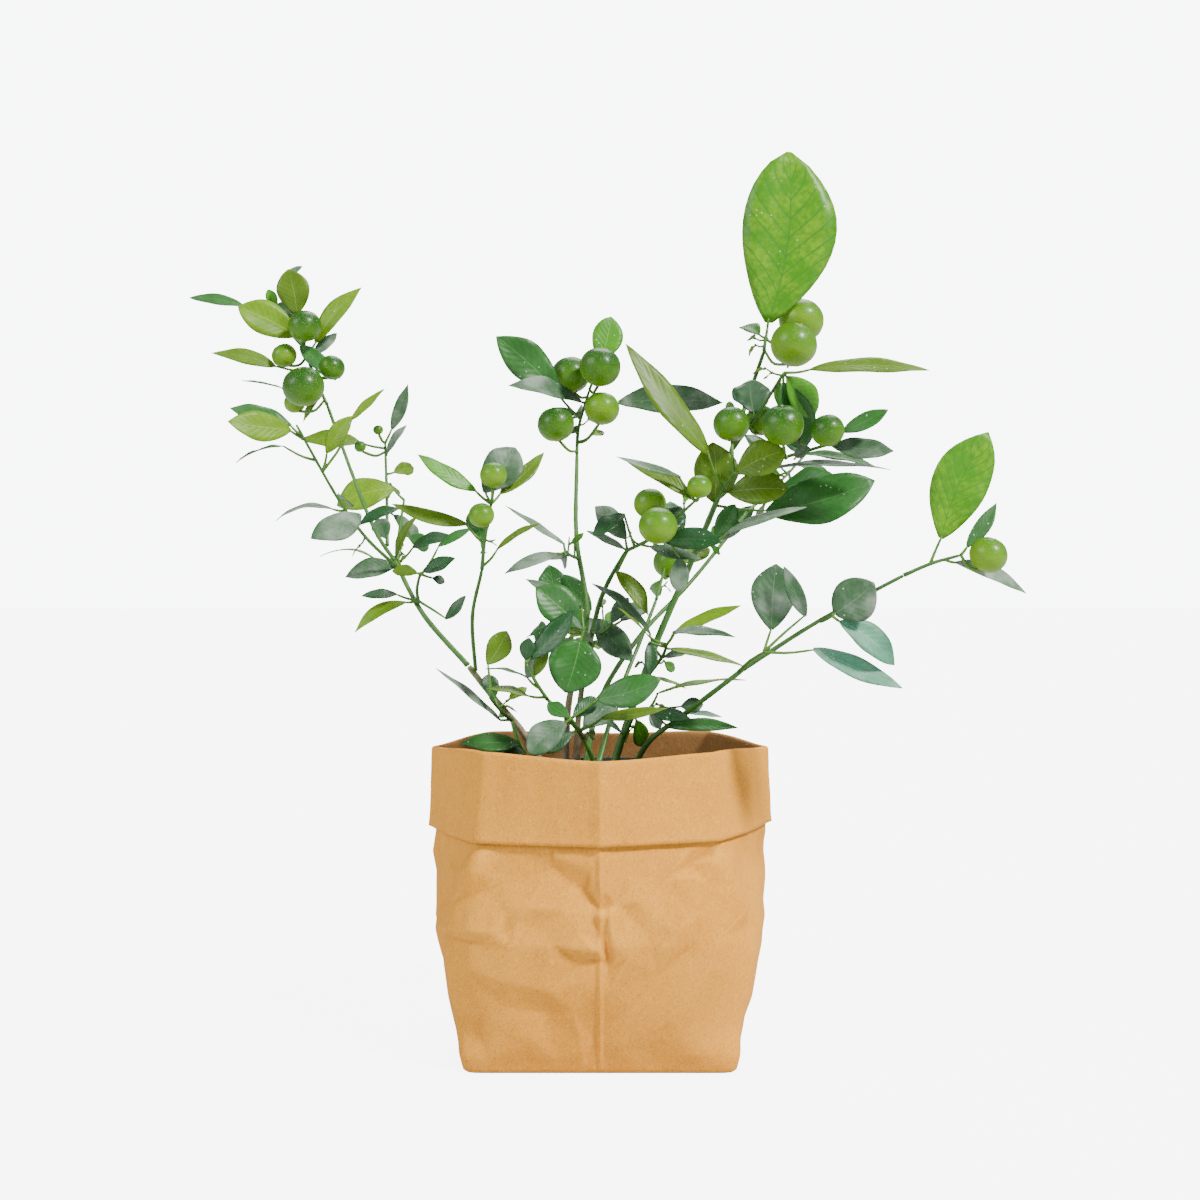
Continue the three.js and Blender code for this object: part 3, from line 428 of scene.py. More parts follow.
def makePeel(name, shift):
    net = Finish(name, 0.36, specular=0.32, coat=0.12, coatRoughness=0.16)
    wavy = net.math("MULTIPLY_ADD", net.noise(120.0, 4.0), 0.5, net.part(net.add("UVMap").outputs[0], 1))
    climb = net.ramp(wavy, fruitSet["crownFrom"] + shift, fruitSet["crownTo"] + shift)
    low = net.ramp(wavy, fruitSet["blushFrom"] + shift, fruitSet["blushTo"] + shift, 0.6, 0.0)
    warm = net.blend(low, net.blend(climb, fruitSet["belly"], fruitSet["crown"]), fruitSet["blush"])
    pits = net.use("pores", Scale=1050.0, Depth=0.55)
    dotted = net.blend(net.times(pits["Mask"], 0.4), warm, fruitSet["pore"])
    return net.done(dotted, pits["Height"], 0.22, 0.9)


finish = {
    "kraft": makeKraft("kraftPaper", "outside"),
    "kraftShadedInside": makeKraft("kraftPaperShadedInside", "inside"),
    "plastic": makeBlackPlastic(),
    "peat": makeMottled("dampPeat", earthSet["peat"], earthSet["chip"], earthLook),
    "chip": makeMottled("barkChip", earthSet["chip"], earthSet["peat"], earthLook),
    "grit": makeMottled("paleGrit", earthSet["root"], earthSet["chip"], earthLook),
    "woodyStem": makeBark("woodyStem", "green", True),
    "greenStem": makeBark("greenStem", "green", False),
    "shoot": makeBark("youngShoot", "shoot", False),
    "peel": makePeel("greenPeel", 0.0),
    "ripePeel": makePeel("yellowGreenPeel", fruitSet["ripeShift"]),
}
for name, part, scale, rough in (("styleScar", "scar", 900.0, 0.7), ("calyx", "calyx", 500.0, 0.6)):
    look = {**trimLook, "scale": scale, "roughness": rough}
    finish[part] = makeMottled(name, fruitSet[part], fruitSet["calyxEdge"], look)
leafTops, leafUnders = [makeLeafTop(name) for name in leafTints], [makeLeafUnder(name) for name in leafTints]
tintNames = list(leafTints)
print("finishes ready")


# kraft bag: one sheet, lofted from a square foot to an eight-sided mouth and folded down into a cuff

bagSet = {
    "baseHalfWidth": 57.2, "waistHalfWidth": 74.6, "waistHeight": 56,
    "rimHalfWidth": 73.6, "rimHeight": 131.4, "cuffLowEdge": 95.8, "girth": 75,
    "topSquareness": 2, "wallSquareness": 3, "footSquareness": 25, "footFade": 25, "footStraight": 0.75,
    "baseRings": (0, 14, 28, 40, 50), "baseCrease": 1.0, "paper": 0.8, "layerGap": 0.4,
    "steps": 360, "bodyRows": 90, "rollSteps": 6, "rollRise": 1.3, "cuffRows": 20, "gather": 0.82,
    "bends": (-90, -51, 0, 45, 90, 135, 180, 229), "flatness": 0.72, "flatFrom": 25, "flatTo": 85,
    "creaseRound": 0.4, "rimWave": 1.2, "edgeDrop": 1.1, "edgeWave": 0.9, "bodyDrift": 0.3,
    "cuffDrift": 0.5, "slack": 0.5,
}
# Folds pressed into the paper: points of heading and height, depth outward, half width
bodyFolds = [
    (((270, 0), (270, 134)), 0.9, 1.6), (((90, 0), (90, 134)), 1.4, 2.4),
    (((232, 97), (226, 86), (220, 66), (219, 48), (222, 28), (225, 6)), 2.4, 8.0),
    (((316, 97), (312, 82), (319, 66), (320, 46), (317, 26), (315, 6)), 2.2, 8.0),
    (((135, 6), (139, 40), (131, 70), (137, 97)), 2.4, 8.0),
    (((45, 6), (40, 36), (49, 66), (43, 97)), 2.4, 8.0),
]
cuffRows = [  # heading at the cut edge and at the mouth, depth, half width
    (270, 270, 0.7, 4.0), (229, 230, 0.6, 6.0), (309, 307, 0.5, 7.0), (180, 180, 0.5, 6.0), (0, 0, 0.5, 6.0),
    (90, 90, 0.7, 4.0), (135, 133, 0.5, 7.0), (45, 47, 0.5, 7.0),
]
cuffFolds = [(((low, 90), (high, 140)), depth, half) for low, high, depth, half in cuffRows]
cuffFolds += [(((248, 92), (250, 136)), -0.5, 11.0), (((290, 92), (292, 136)), -0.4, 11.0)]
# Corners of the crumpled facets on the front: distance to the right of the seam, height, how far outward
frontFacets = [
    (-62, 80, 0.1), (-44, 97, 0.4), (-20, 96, 0.2), (-3, 95, 0.8), (4, 95, 0.4), (26, 97, 0.2),
    (38, 96, 0.3), (50, 97, 0.6), (-47, 86, 1.4), (-58, 70, 0.0), (-38, 70, 0.2), (-41, 80, -0.3),
    (-20, 88, -0.6), (-36, 72, 0.6), (-14, 71, 0.8), (-28, 72, 0.9), (-19, 94, 0.6), (-12, 82, -0.6),
    (-6, 79, -1.1), (-4, 87, 0.6), (-2.5, 80, 0.5), (0, 72, -1.0), (1, 60, -0.9), (3, 51, -0.8),
    (4, 46, -0.2), (3, 79, 0.7), (4, 70, 0.8), (5, 60, 0.7), (7, 51, 0.5), (-4, 70, 0.2), (-8, 62, 0.8),
    (-12, 56, 1.1), (-2, 55, 0.9), (-9, 49, -0.4), (-27, 65, -0.2), (-33, 66, 0.4), (-36, 62, -0.4),
    (-50, 61, 1.0), (-40, 61, 0.9), (-57, 60, 0.4), (-56, 56, -0.5), (-46, 56, -0.4), (-33, 55, 0.5),
    (-20, 58, 0.5), (-50, 45, 0.5), (-36, 41, 1.1), (-22, 38, 1.0), (-10, 41, 0.4), (-38, 30, 0.1),
    (-25, 28, -0.5), (-12, 30, 0.5), (-47, 25, 0.4), (-49, 16, -0.3), (-30, 16, 0.9), (-9, 15, 0.4),
    (-3, 16, -0.4), (-44, 9, 0.6), (-20, 7, 0.2), (12, 86, 0.3), (16, 75, 0.9), (7, 74, 0.2),
    (12, 71, -0.2), (24, 81, 0.4), (30, 86, 0.5), (38, 89, -1.0), (46, 94, -0.5), (33, 84, 1.0),
    (46, 90, 1.0), (44, 82, 0.1), (53, 80, 0.8), (40, 70, 0.6), (30, 62, 1.0), (36, 56, -0.3),
    (46, 60, 0.8), (54, 67, 1.0), (58, 62, -0.7), (60, 72, 0.3), (55, 50, 0.5), (20, 61, 0.2),
    (12, 52, 0.8), (24, 45, -0.3), (40, 43, 0.8), (51, 34, 0.2), (14, 31, 0.1), (30, 26, 0.9),
    (45, 20, 0.1), (10, 13, 0.6), (25, 9, 0.1), (40, 10, 0.7), (5, 38, 0.5),
]
facetSet = {  # the rest of the crumpling, scattered round the sides and the back
    "seed": 77, "count": 900, "apart": 9.5, "from": 328, "to": 570, "low": 8, "high": 97, "depth": 0.55,
    "ringHeights": (-2, 140), "ringStep": 12, "blur": 0.45, "strength": 2.0,
    "creaseReach": 1.3, "creaseShadeGain": 9.0,
}


def gatherFacets():  # every facet's corner as arc length round the wall, height and outward push
    girth, draw = bagSet["girth"], seeded(facetSet["seed"])
    around, seam = math.tau * girth, math.radians(270) * girth
    corners = [(seam + girth * math.asin(aside / girth), height, out) for aside, height, out in frontFacets]
    for _ in range(facetSet["count"]):
        arc = math.radians(mix(facetSet["from"], facetSet["to"], draw())) * girth
        height, out = mix(facetSet["low"], facetSet["high"], draw()), facetSet["depth"] * (2 * draw() - 1)
        arc -= around * (arc > around)
        if all(math.hypot(arc - other[0], height - other[1]) > facetSet["apart"] for other in corners):
            corners.append((arc, height, out))
    for heading in range(0, 360, facetSet["ringStep"]):
        corners += [(math.radians(heading) * girth, height, 0.0) for height in facetSet["ringHeights"]]
    return [(arc + turn * around, height, out) for turn in (-1, 0, 1) for arc, height, out in corners]


def layFacets():  # the corners joined into flat triangles: three corners each, as arc, height and push
    corners = gatherFacets()
    flat = [Vector((arc, level)) for arc, level, _ in corners]
    places, _, faces, origins, *_ = geometry.delaunay_2d_cdt(flat, [], [], 0, 0.001)
    return [[(*places[corner], corners[origins[corner][0]][2]) for corner in face] for face in faces]


def facetPush(facets, arc, height):
    pushed = np.zeros_like(arc)
    for (x1, z1, out1), (x2, z2, out2), (x3, z3, out3) in facets:
        near = np.nonzero((arc >= min(x1, x2, x3)) & (arc <= max(x1, x2, x3)))[0]
        here, level = arc[near] - x1, height[near] - z1
        area = (x2 - x1) * (z3 - z1) - (x3 - x1) * (z2 - z1)
        shareB = (here * (z3 - z1) - (x3 - x1) * level) / area
        shareC = ((x2 - x1) * level - here * (z2 - z1)) / area
        inside = (shareB >= 0) & (shareC >= 0) & (shareB + shareC <= 1)
        value = out1 * (1 - shareB - shareC) + out2 * shareB + out3 * shareC
        pushed[near[inside]] = value[inside]
    return pushed


def facetRelief(heading, height):  # the facets' push, and how deep in a valley or high on a ridge it is, which the paper's colour turns into painted shade in the valleys and a painted highlight on the ridges
    facets, arc = layFacets(), np.radians(heading % 360) * bagSet["girth"]
    around = []
    for reach in (facetSet["blur"], facetSet["creaseReach"]):
        steps = ((reach, 0), (-reach, 0), (0, reach), (0, -reach))
        around.append(sum(facetPush(facets, arc + aside, height + up) for aside, up in steps) / 4)
    middle = facetPush(facets, arc, height)
    push = (around[0] * 2 + middle) / 3 * facetSet["strength"]
    return push, np.clip((around[1] - middle) * facetSet["creaseShadeGain"], -1, 1)


def foldRelief(heading, height, folds):
    total, girth, soften = np.zeros_like(heading), bagSet["girth"], bagSet["creaseRound"]
    for line, depth, half in folds:
        nearest = np.full_like(heading, 1e6)
        for (headA, lowA), (headB, lowB) in zip(line, line[1:]):
            spanX, spanZ = math.radians(headB - headA) * girth, lowB - lowA
            offX, offZ = np.radians((heading - headA + 180) % 360 - 180) * girth, height - lowA
            share = np.clip((offX * spanX + offZ * spanZ) / (spanX ** 2 + spanZ ** 2), 0, 1)
            nearest = np.minimum(nearest, np.hypot(offX - share * spanX, offZ - share * spanZ))
        total += depth * np.clip(1 - (np.sqrt(nearest ** 2 + soften ** 2) - soften) / half, 0, 1)
    return total


def bagHalfWidth(height):
    base, waist, straight = bagSet["baseHalfWidth"], bagSet["waistHalfWidth"], bagSet["footStraight"]
    share = np.clip(height / bagSet["waistHeight"], 0, 1)
    low = base + (waist - base) * (straight * share + (1 - straight) * np.sin(share * np.pi / 2))
    climb = np.clip((height - bagSet["waistHeight"]) / (bagSet["rimHeight"] - bagSet["waistHeight"]), 0, 1)
    return low + (bagSet["rimHalfWidth"] - waist) * climb


def bagPlan(heading, height):  # how far the wall stands out at each heading, as a share of its half width
    low = 1 - np.clip(height / bagSet["rimHeight"], 0, 1)
    power = bagSet["topSquareness"] + bagSet["wallSquareness"] * low ** 2
    power += bagSet["footSquareness"] * low ** bagSet["footFade"]
    angle = np.radians(heading)
    square = (np.abs(np.cos(angle)) ** power + np.abs(np.sin(angle)) ** power) ** (-1 / power)
    bends = [*bagSet["bends"], bagSet["bends"][0] + 360]
    panel, turned = np.ones_like(heading), (heading + 90) % 360 - 90
    for start, stop in zip(bends, bends[1:]):
        chord = math.cos(math.radians(stop - start) / 2) / np.cos(np.radians(turned - (start + stop) / 2))
        panel = np.where((turned >= start) & (turned <= stop), chord, panel)
    flat = np.clip((height - bagSet["flatFrom"]) / (bagSet["flatTo"] - bagSet["flatFrom"]), 0, 1)
    return square * (1 + (panel - 1) * bagSet["flatness"] * flat)


def spinChain(bm, places, steps):
    chain = [bm.verts.new(place) for place in places]
    geom = chain + [bm.edges.new(pair) for pair in zip(chain, chain[1:])]
    bmesh.ops.spin(bm, geom=geom, cent=(0, 0, 0), axis=(0, 0, 1), angle=math.tau, steps=steps, use_merge=True)


def bagLayers():  # the sheet's rings: part, radius on the base, height, how far outside the body
    low, rim, crease = bagSet["cuffLowEdge"], bagSet["rimHeight"], bagSet["baseCrease"]
    rows, turns, last = bagSet["bodyRows"], bagSet["rollSteps"], bagSet["cuffRows"]
    roll = (bagSet["paper"] + bagSet["layerGap"]) / 2
    radii = [*bagSet["baseRings"], bagSet["baseHalfWidth"] - crease]
    layers = [("base", radius, 0.0, 0.0) for radius in radii]
    layers += [("body", 0, mix(crease, rim, row / rows), 0.0) for row in range(rows + 1)]
    for turn in (math.pi * step / turns for step in range(1, turns)):
        rise = roll * bagSet["rollRise"] * math.sin(turn)
        layers.append(("roll", 0, rim + rise, roll * (1 - math.cos(turn))))
    return layers + [("cuff", 0, mix(rim, low, row / last), 2 * roll) for row in range(last + 1)]


def shapeSheet(heading, part, radiusGiven, height, outward):  # reach, height and the painted crease shade of every place
    low, rim, onCuff, angle = bagSet["cuffLowEdge"], bagSet["rimHeight"], part == "cuff", np.radians(heading)
    climb = np.clip((height - low) / (rim - low), 0, 1)
    places = np.stack([np.cos(angle) * 2.4, np.sin(angle) * 2.4, height * 0.03], 1)
    drift = np.array([noise.fractal(Vector(place) * 0.9, 0.8, 2.1, 3) for place in places])
    facetsOut, crease = facetRelief(heading, height)
    relief = foldRelief(heading, height, bodyFolds) + facetsOut + bagSet["bodyDrift"] * drift
    cuffRelief = foldRelief(heading, height, cuffFolds) + bagSet["cuffDrift"] * drift
    under = np.clip((height - low + 5) / 5, 0, 1)
    bodyRelief = relief * (1 - under) + np.minimum(relief, cuffRelief) * under
    push = np.where(onCuff | (part == "roll"), cuffRelief, bodyRelief) * np.clip(height / 8, 0, 1)
    wall = bagHalfWidth(height) * bagPlan(heading, height) + push
    reach = np.where(part == "base", radiusGiven * bagPlan(heading, height * 0), wall) + outward
    reach += bagSet["slack"] * np.clip((100 - height) / 6, 0, 1) * onCuff  # the cut edge stands off a little
    edgeWave = (bagSet["edgeDrop"] + bagSet["edgeWave"] * np.cos(angle)) * (1 - climb) * onCuff
    height = height - bagSet["rimWave"] * np.cos(np.radians(4 * (heading - 270))) * climb ** 2 + edgeWave
    return reach, height, crease * np.clip((low + 2 - height) / 4, 0, 1)


def buildBag():
    bm, layers = bmesh.new(), bagLayers()  # spun as a strip whose rings are numbered, then drawn in to shape
    creaseShadeLayer = bm.verts.layers.float.new("crease")
    spinChain(bm, [(1 + index, 0, 0) for index in range(1, len(layers))], bagSet["steps"])
    inner = [edge for edge in bm.edges if edge.is_boundary and edge.verts[0].co.length < 2.5]
    bmesh.ops.edgeloop_fill(bm, edges=inner)
    verts = list(bm.verts)
    places = np.array([vert.co for vert in verts])
    ring = np.round(np.hypot(places[:, 0], places[:, 1])).astype(int) - 1
    heading = np.degrees(np.arctan2(places[:, 1], places[:, 0]))
    heading -= np.degrees(bagSet["gather"] / 4) * np.sin(np.radians(4 * heading))  # closer beside the seams
    shaped = shapeSheet(heading, *(np.array(column)[ring] for column in zip(*layers)))
    # tone is the painted crease shade and highlight that each corner keeps for the paper's colour
    for vert, angle, reach, up, tone in zip(verts, np.radians(heading), *shaped):
        vert.co = (math.cos(angle) * reach, math.sin(angle) * reach, up)
        vert[creaseShadeLayer] = tone
    bm.normal_update()
    ringOf = dict(zip(verts, ring))
    turnRing = [layer[0] for layer in layers].index("roll") + 1
    middles = {face: face.calc_center_median() for face in bm.faces}
    for face in bm.faces:
        face.material_index = int(min(ringOf[vert] for vert in face.verts) >= turnRing)
    outside = max(middles, key=lambda face: -middles[face].y if 30 < middles[face].z < 60 else -math.inf)
    if outside.normal.y > 0:
        bmesh.ops.reverse_faces(bm, faces=bm.faces)
    # the darker copy, painted shade, goes on the faces turned in: the bag's inner wall and the underside of
    # the cuff; the cuff's outer face takes the lit colour
    papers = [finish["kraft"], finish["kraftShadedInside"], finish["kraft"]]
    bag = makePiece("folded_kraft_paper_bag", bm, papers, ["kraft_bag", "folded_cuff"])
    addSolidify(bag, bagSet["paper"], -1, 1)


buildBag()
print("bag folded")


# nursery pot and potting mix

potSet = {
    "bottomRadius": 46, "rimRadius": 61, "lipRadius": 63, "lipHeight": 6, "top": 121, "floor": 1.5,
    "wall": 1.2, "steps": 96, "flutes": 24, "fluteDepth": 0.25,
}
soilSet = {
    "top": 111.6, "radius": 57.5, "crumbs": 620, "chips": 150, "seed": 5, "clear": 0.6, "steps": 110,
    "swell": 1.1,
}


def potRadius(height):
    share = (height - potSet["floor"]) / (potSet["top"] - potSet["floor"])
    return mix(potSet["bottomRadius"], potSet["rimRadius"], share)


def spinProfile(profile, steps):
    bm = bmesh.new()
    spinChain(bm, [(radius, 0, height) for radius, height in profile], steps)
    bmesh.ops.remove_doubles(bm, verts=bm.verts, dist=0.0001)
    bmesh.ops.recalc_face_normals(bm, faces=bm.faces)
    return bm


def buildPot():
    wall, top, floor, bottom = potSet["wall"], potSet["top"], potSet["floor"], potSet["bottomRadius"]
    lipLow, outer, inner = top - potSet["lipHeight"], potSet["lipRadius"], potSet["lipRadius"] - 2 * wall
    profile = [(0, floor), (bottom - 3, floor), (bottom - 0.6, floor + 0.7)]
    profile += [(potRadius(level), level) for level in (30, 60, lipLow - 8, lipLow)]
    profile += [(outer - 0.5, lipLow), (outer, lipLow + 0.5), (outer, top - 0.6), (outer - 0.6, top)]
    profile += [(inner + 0.5, top), (inner, top - 0.6)]
    profile += [(potRadius(level) - wall, level) for level in (lipLow, 60, 30)]
    profile += [(bottom - 2.2, floor + wall), (0, floor + wall)]
    bm = spinProfile(profile, potSet["steps"])
    for vert in bm.verts:  # shallow flutes below the lip
        angle = math.atan2(vert.co.y, vert.co.x)
        flute = potSet["fluteDepth"] * math.cos(potSet["flutes"] * angle)
        flute *= smooth(8, 30, vert.co.z) * smooth(lipLow, lipLow - 8, vert.co.z)
        vert.co += Vector((math.cos(angle) * flute, math.sin(angle) * flute, 0))
    makePiece("black_nursery_pot", bm, [finish["plastic"]], ["nursery_pot"])


def buildSoil():
    top, radius, crumbs = soilSet["top"], soilSet["radius"], soilSet["crumbs"]
    wallGap = potSet["wall"] + 2 * soilSet["clear"]
    low = potSet["floor"] + potSet["wall"] + soilSet["clear"]
    profile = [(0, low), (potRadius(low) - wallGap - 2, low), (potRadius(low + 3) - wallGap, low + 3),
               (potRadius(60) - wallGap, 60), (radius, top - 3), (radius * 0.97, top - 0.6)]
    profile += [(radius * tenth / 10, top - 0.6) for tenth in range(9, -1, -1)]
    bm = spinProfile(profile, soilSet["steps"])
    for vert in bm.verts:
        if vert.co.z > top - 1:
            vert.co.z += soilSet["swell"] * noise.fractal(vert.co * 0.09, 0.8, 2.1, 4) - 0.6
    draw = seeded(soilSet["seed"])
    noise.seed_set(soilSet["seed"])  # the crumbs are roughened in the same way on each run
    for index in range(crumbs + soilSet["chips"]):
        heading, reach = math.tau * draw(), (radius - 4) * math.sqrt(draw())
        isChip = index >= crumbs
        size = mix(1.6, 3.6, draw()) if isChip else mix(0.7, 1.9, draw())
        shape = Matrix.Diagonal((size, size * mix(0.4, 0.9, draw()), size * (0.28 if isChip else 0.7), 1))
        turn = Matrix.Rotation(math.tau * draw(), 4, "Z") @ Matrix.Rotation(mix(-0.5, 0.5, draw()), 4, "X")
        spot = (math.cos(heading) * reach, math.sin(heading) * reach, top - 0.8 + size * 0.12)
        before, matrix = len(bm.faces), Matrix.Translation(spot) @ turn @ shape
        for vert in bmesh.ops.create_icosphere(bm, subdivisions=1, radius=0.55, matrix=matrix)["verts"]:
            vert.co += Vector(noise.noise_vector(vert.co * 1.7)) * size * 0.16
        paint(bm, before, (2 if index % 5 == 0 else 1) if isChip else int(index % 9 == 0))
    earths = [finish["peat"], finish["chip"], finish["grit"]]
    makePiece("damp_potting_mix", bm, earths, ["potting_mix"], False)


buildPot()
buildSoil()
print("pot and potting mix filled")


# limbs, in the same places as the solids: where each starts, its route and its radii
# it starts in the soil, at x and y, or on another limb, at a share of the way along

clearance, soilTop = 0.3, 112
limbRows = {
    "stem_left": ((-19, -10), [(-33, -13, 137), (-47, -14, 154), (-58, -14, 168)], (1.7, 1.3)),
    "bough_left": (("stem_left", 1), [(-79, -6, 191), (-93, 5, 215)], (1.25, 1.0)),
    "upright_left": (("stem_left", 0.9), [(-55, -32, 190), (-50, -46, 210)], (0.9, 0.75)),
    "bough_left_top": (("bough_left", 1), [(-103, 14, 229), (-114, 27, 252), (-130, 46, 290)], (0.95, 0.8)),
    "stem_centre": ((-16, 7), [(-14, 7, 151), (-6, 10, 189), (-11, 24, 227), (-11, 40, 266)], (1.6, 0.9)),
    "stem_twin": ((-11, 1), [(-9, 0, 151), (-2, -2, 189), (3, -12, 204), (11, -28, 218)], (1.35, 0.9)),
    "stem_mid": ((3, -6), [(11, -7, 139), (25, -8, 178), (40, -8, 213), (53, -8, 244)], (1.7, 1.25)),
    "bough_top": (("stem_mid", 1), [(63, 2, 277), (75, 14, 311)], (1.1, 0.85)),
    "stem_back": ((-8, 22), [(0, 33, 150), (19, 48, 180), (45, 65, 207), (73, 80, 241)], (1.3, 0.9)),
    "stem_right": ((11, -18), [(20, -26, 134), (35, -32, 147), (60, -50, 168)], (1.3, 1.05)),
    "arm_right": (("stem_right", 1), [(83, -62, 184), (100, -74, 195), (121, -86, 207)], (1.0, 0.75)),
    "stem_front": ((2, -32), [(-7, -37, 138), (-22, -46, 155)], (1.15, 0.9)),
    "stem_rear": ((-3, 36), [(8, 60, 148), (20, 79, 177), (28, 88, 197)], (1.2, 0.85)),
    "cut_stub": ((-1, -14), [(0, -15, 119), (1, -16, 126)], (2.3, 2.1)),
}
limbSet = {name: dict(zip(("from", "route", "radii"), row)) for name, row in limbRows.items()}


def inSoil(limb):
    return not isinstance(limb["from"][0], str)


class Curve:  # a smooth line through its points, read by share of the way along
    def __init__(self, points):
        self.points = [Vector(point) for point in points]

    def at(self, share):
        points, last = self.points, len(self.points) - 1
        index = min(int(last * share), last - 1)
        weight = last * share - index
        first, second = points[index], points[index + 1]
        before = points[index - 1] if index > 0 else first * 2 - second
        after = points[index + 2] if index + 2 <= last else second * 2 - first
        startPull, endPull = (second - before) * 0.5, (after - first) * 0.5
        return (first + startPull * weight + (second * 3 - first * 3 - startPull * 2 - endPull) * weight ** 2
                + (first * 2 - second * 2 + startPull + endPull) * weight ** 3)

    def heading(self, share):
        return (self.at(min(1.0, share + 0.0001)) - self.at(max(0.0, share - 0.0001))).normalized()

    def length(self):
        spots = [self.at(index / 200) for index in range(201)]
        return sum((b - a).length for a, b in zip(spots, spots[1:]))


def limbRadius(limb, along):
    flare = 0.6 * limb["radii"][0] * math.exp(-along * 14) if inSoil(limb) else 0.0
    return mix(*limb["radii"], along) + flare


def startBeside(parent, place, firstPoint, radius):
    spot, along = parent["curve"].at(place), parent["curve"].heading(place)
    heading = (Vector(firstPoint) - spot).normalized()
    forward = heading.dot(along)
    slant = math.sqrt(1 - min(1.0, forward) ** 2)
    if place == 1:
        return spot + along * (clearance + radius * slant + 0.05)
    return spot + heading * (limbRadius(parent, place) + clearance + 0.1 + radius * abs(forward)) / slant


def limbCurve(limb):
    if inSoil(limb):
        start = Vector((*limb["from"], soilTop + clearance))
    else:
        parent, place = limb["from"]
        start = startBeside(limbSet[parent], place, limb["route"][0], limb["radii"][0])
    return Curve([start, *limb["route"]])


barkShape = {
    "swell": 1.02, "sides": 12, "stepLength": 2.2, "ridge": 0.07, "knot": 0.08, "knotWidth": 1.4,
    "knotEvery": 13, "woody": ("stem_left", "stem_centre", "stem_twin"), "endTaper": 0.75,
    "twigSides": 10, "twigRidge": 0.05,
}


def addRod(bm, curve, radiusAt, sides, steps, material, relief=0.0, roundEnd=True):
    # a cylinder bent along the curve, ridged like young citrus wood
    before = len(bm.faces)
    cone = bmesh.ops.create_cone(bm, cap_ends=True, segments=sides, radius1=1, radius2=1, depth=1)
    made = set(cone["verts"])
    rim = [edge for edge in bm.edges if edge.verts[0].co.z * edge.verts[1].co.z < 0 and edge.verts[0] in made]
    bmesh.ops.subdivide_edges(bm, edges=rim, cuts=max(1, steps - 1))
    paint(bm, before, material)
    frames, up = [], Vector((0.13, 0.97, 0.2)).normalized()
    for step in range(steps + 1):
        heading = curve.heading(step / steps)
        up = (up - heading * up.dot(heading)).normalized()
        frames.append((curve.at(step / steps), up.copy(), heading.cross(up)))
    for vert in {vert for face in bm.faces[before:] for vert in face.verts}:
        along, angle = vert.co.z + 0.5, math.atan2(vert.co.y, vert.co.x)
        spot, first, second = frames[round(along * steps)]
        radius = radiusAt(along)
        if relief:
            radius += math.cos(3 * angle + along * 5) * relief * radius
            rough = Vector((math.cos(angle) * 2, math.sin(angle) * 2, along * steps * 0.35))
            radius += relief * 0.7 * noise.noise(rough)
        if roundEnd and along > 0.999:
            radius *= barkShape["endTaper"]
        vert.co = spot + (first * math.cos(angle) + second * math.sin(angle)) * radius


def knotted(radiusAt, length):
    count = max(1, round(length / barkShape["knotEvery"]))

    def radius(along):
        nearest = abs((along * count + 0.5) % 1 - 0.5) / count * length
        knot = barkShape["knot"] * math.exp(-(nearest / barkShape["knotWidth"]) ** 2)
        return radiusAt(along) * barkShape["swell"] + knot
    return radius


def rodSteps(length):
    return max(6, round(length / barkShape["stepLength"]))


def buildLimbs():
    for name, limb in limbSet.items():
        limb["curve"], limb["radiusAt"] = limbCurve(limb), lambda along, limb=limb: limbRadius(limb, along)
        length, bm = limb["curve"].length(), bmesh.new()
        radiusAt, sides, ridge = knotted(limb["radiusAt"], length), barkShape["sides"], barkShape["ridge"]
        addRod(bm, limb["curve"], radiusAt, sides, rodSteps(length), 0, ridge, name != "cut_stub")
        bmesh.ops.recalc_face_normals(bm, faces=bm.faces)
        bark = finish["woodyStem" if name in barkShape["woody"] else "greenStem"]
        makePiece(name + "_bark", bm, [bark], [name])


buildLimbs()
print("limbs grown:", len(limbSet))


# sprays: twigs, leaves and fruit by the rule that the solids grow by
# leaf: tint, place along the twig, clock in front view, lean to the front, stalk, length, width,
# facing front, then arch and turn of the stalk where they differ from the usual ones
# fruit: place, clock, lean, distance from the twig to its middle, radius

usualEnd = (0.1, 0)
spraySet = {}


def addSpray(name, start, share, route, seed, reach, leaves, fruit=(), fill=1, fillLean=-62, ripe=()):
    rows = [(*row[1:], *usualEnd[len(row) - 8:], row[0]) for row in leaves]
    spraySet[name] = {
        "from": (start, share), "route": route, "seed": seed, "reach": reach, "leaves": rows,
        "fruit": fruit, "fill": fill, "fillLean": fillLean, "ripe": ripe,
    }


addSpray("left_top_spray", "bough_left_top", 1,
         [(-138, 50, 307), (-143, 53, 323), (-149, 56, 343)], 11, 62, [
    ("mid", 0.84, 173, 5, 26, 26, 6.5, 60, 0.1, -6), ("lime", 0.66, 154, 12, 3, 31, 17, 80),
    ("olive", 0.75, 100, 15, 7, 22, 16, 85), ("dusty", 1.0, 37, -10, 11, 10, 4.5, 60, 0.1, 71),
    ("bright", 0.84, 115, 8, 11, 10, 5.5, 75, 0.1, 39), ("dark", 0.85, 150, -35, 2, 20, 9, 60),
    ("lime", 0.52, 51, 5, 6, 35.5, 11.5, 62), ("dusty", 0.45, 50, -18, 4, 17, 7, 60),
    ("mid", 0.66, 316, 20, 3.5, 28, 9, 60, 0.25, -70), ("olive", 0.33, 169, 8, 17, 31, 8.5, 65, 0.1, 4),
    ("mid", 0.11, 170, 5, 18.5, 20, 7, 8, 0.1, 3), ("lime", 0.12, 230, -10, 3, 17, 5, 60)],
    [(0.7, 42, 66, 10.4, 7.9), (0.5, 183, 18, 11, 6), (0.25, 231, 61, 12.6, 9.9),
     (0.4, 350, 22, 12.4, 6.2), (0.05, 184, -11, 15.2, 5.2)], fill=2, ripe=(1, 4))
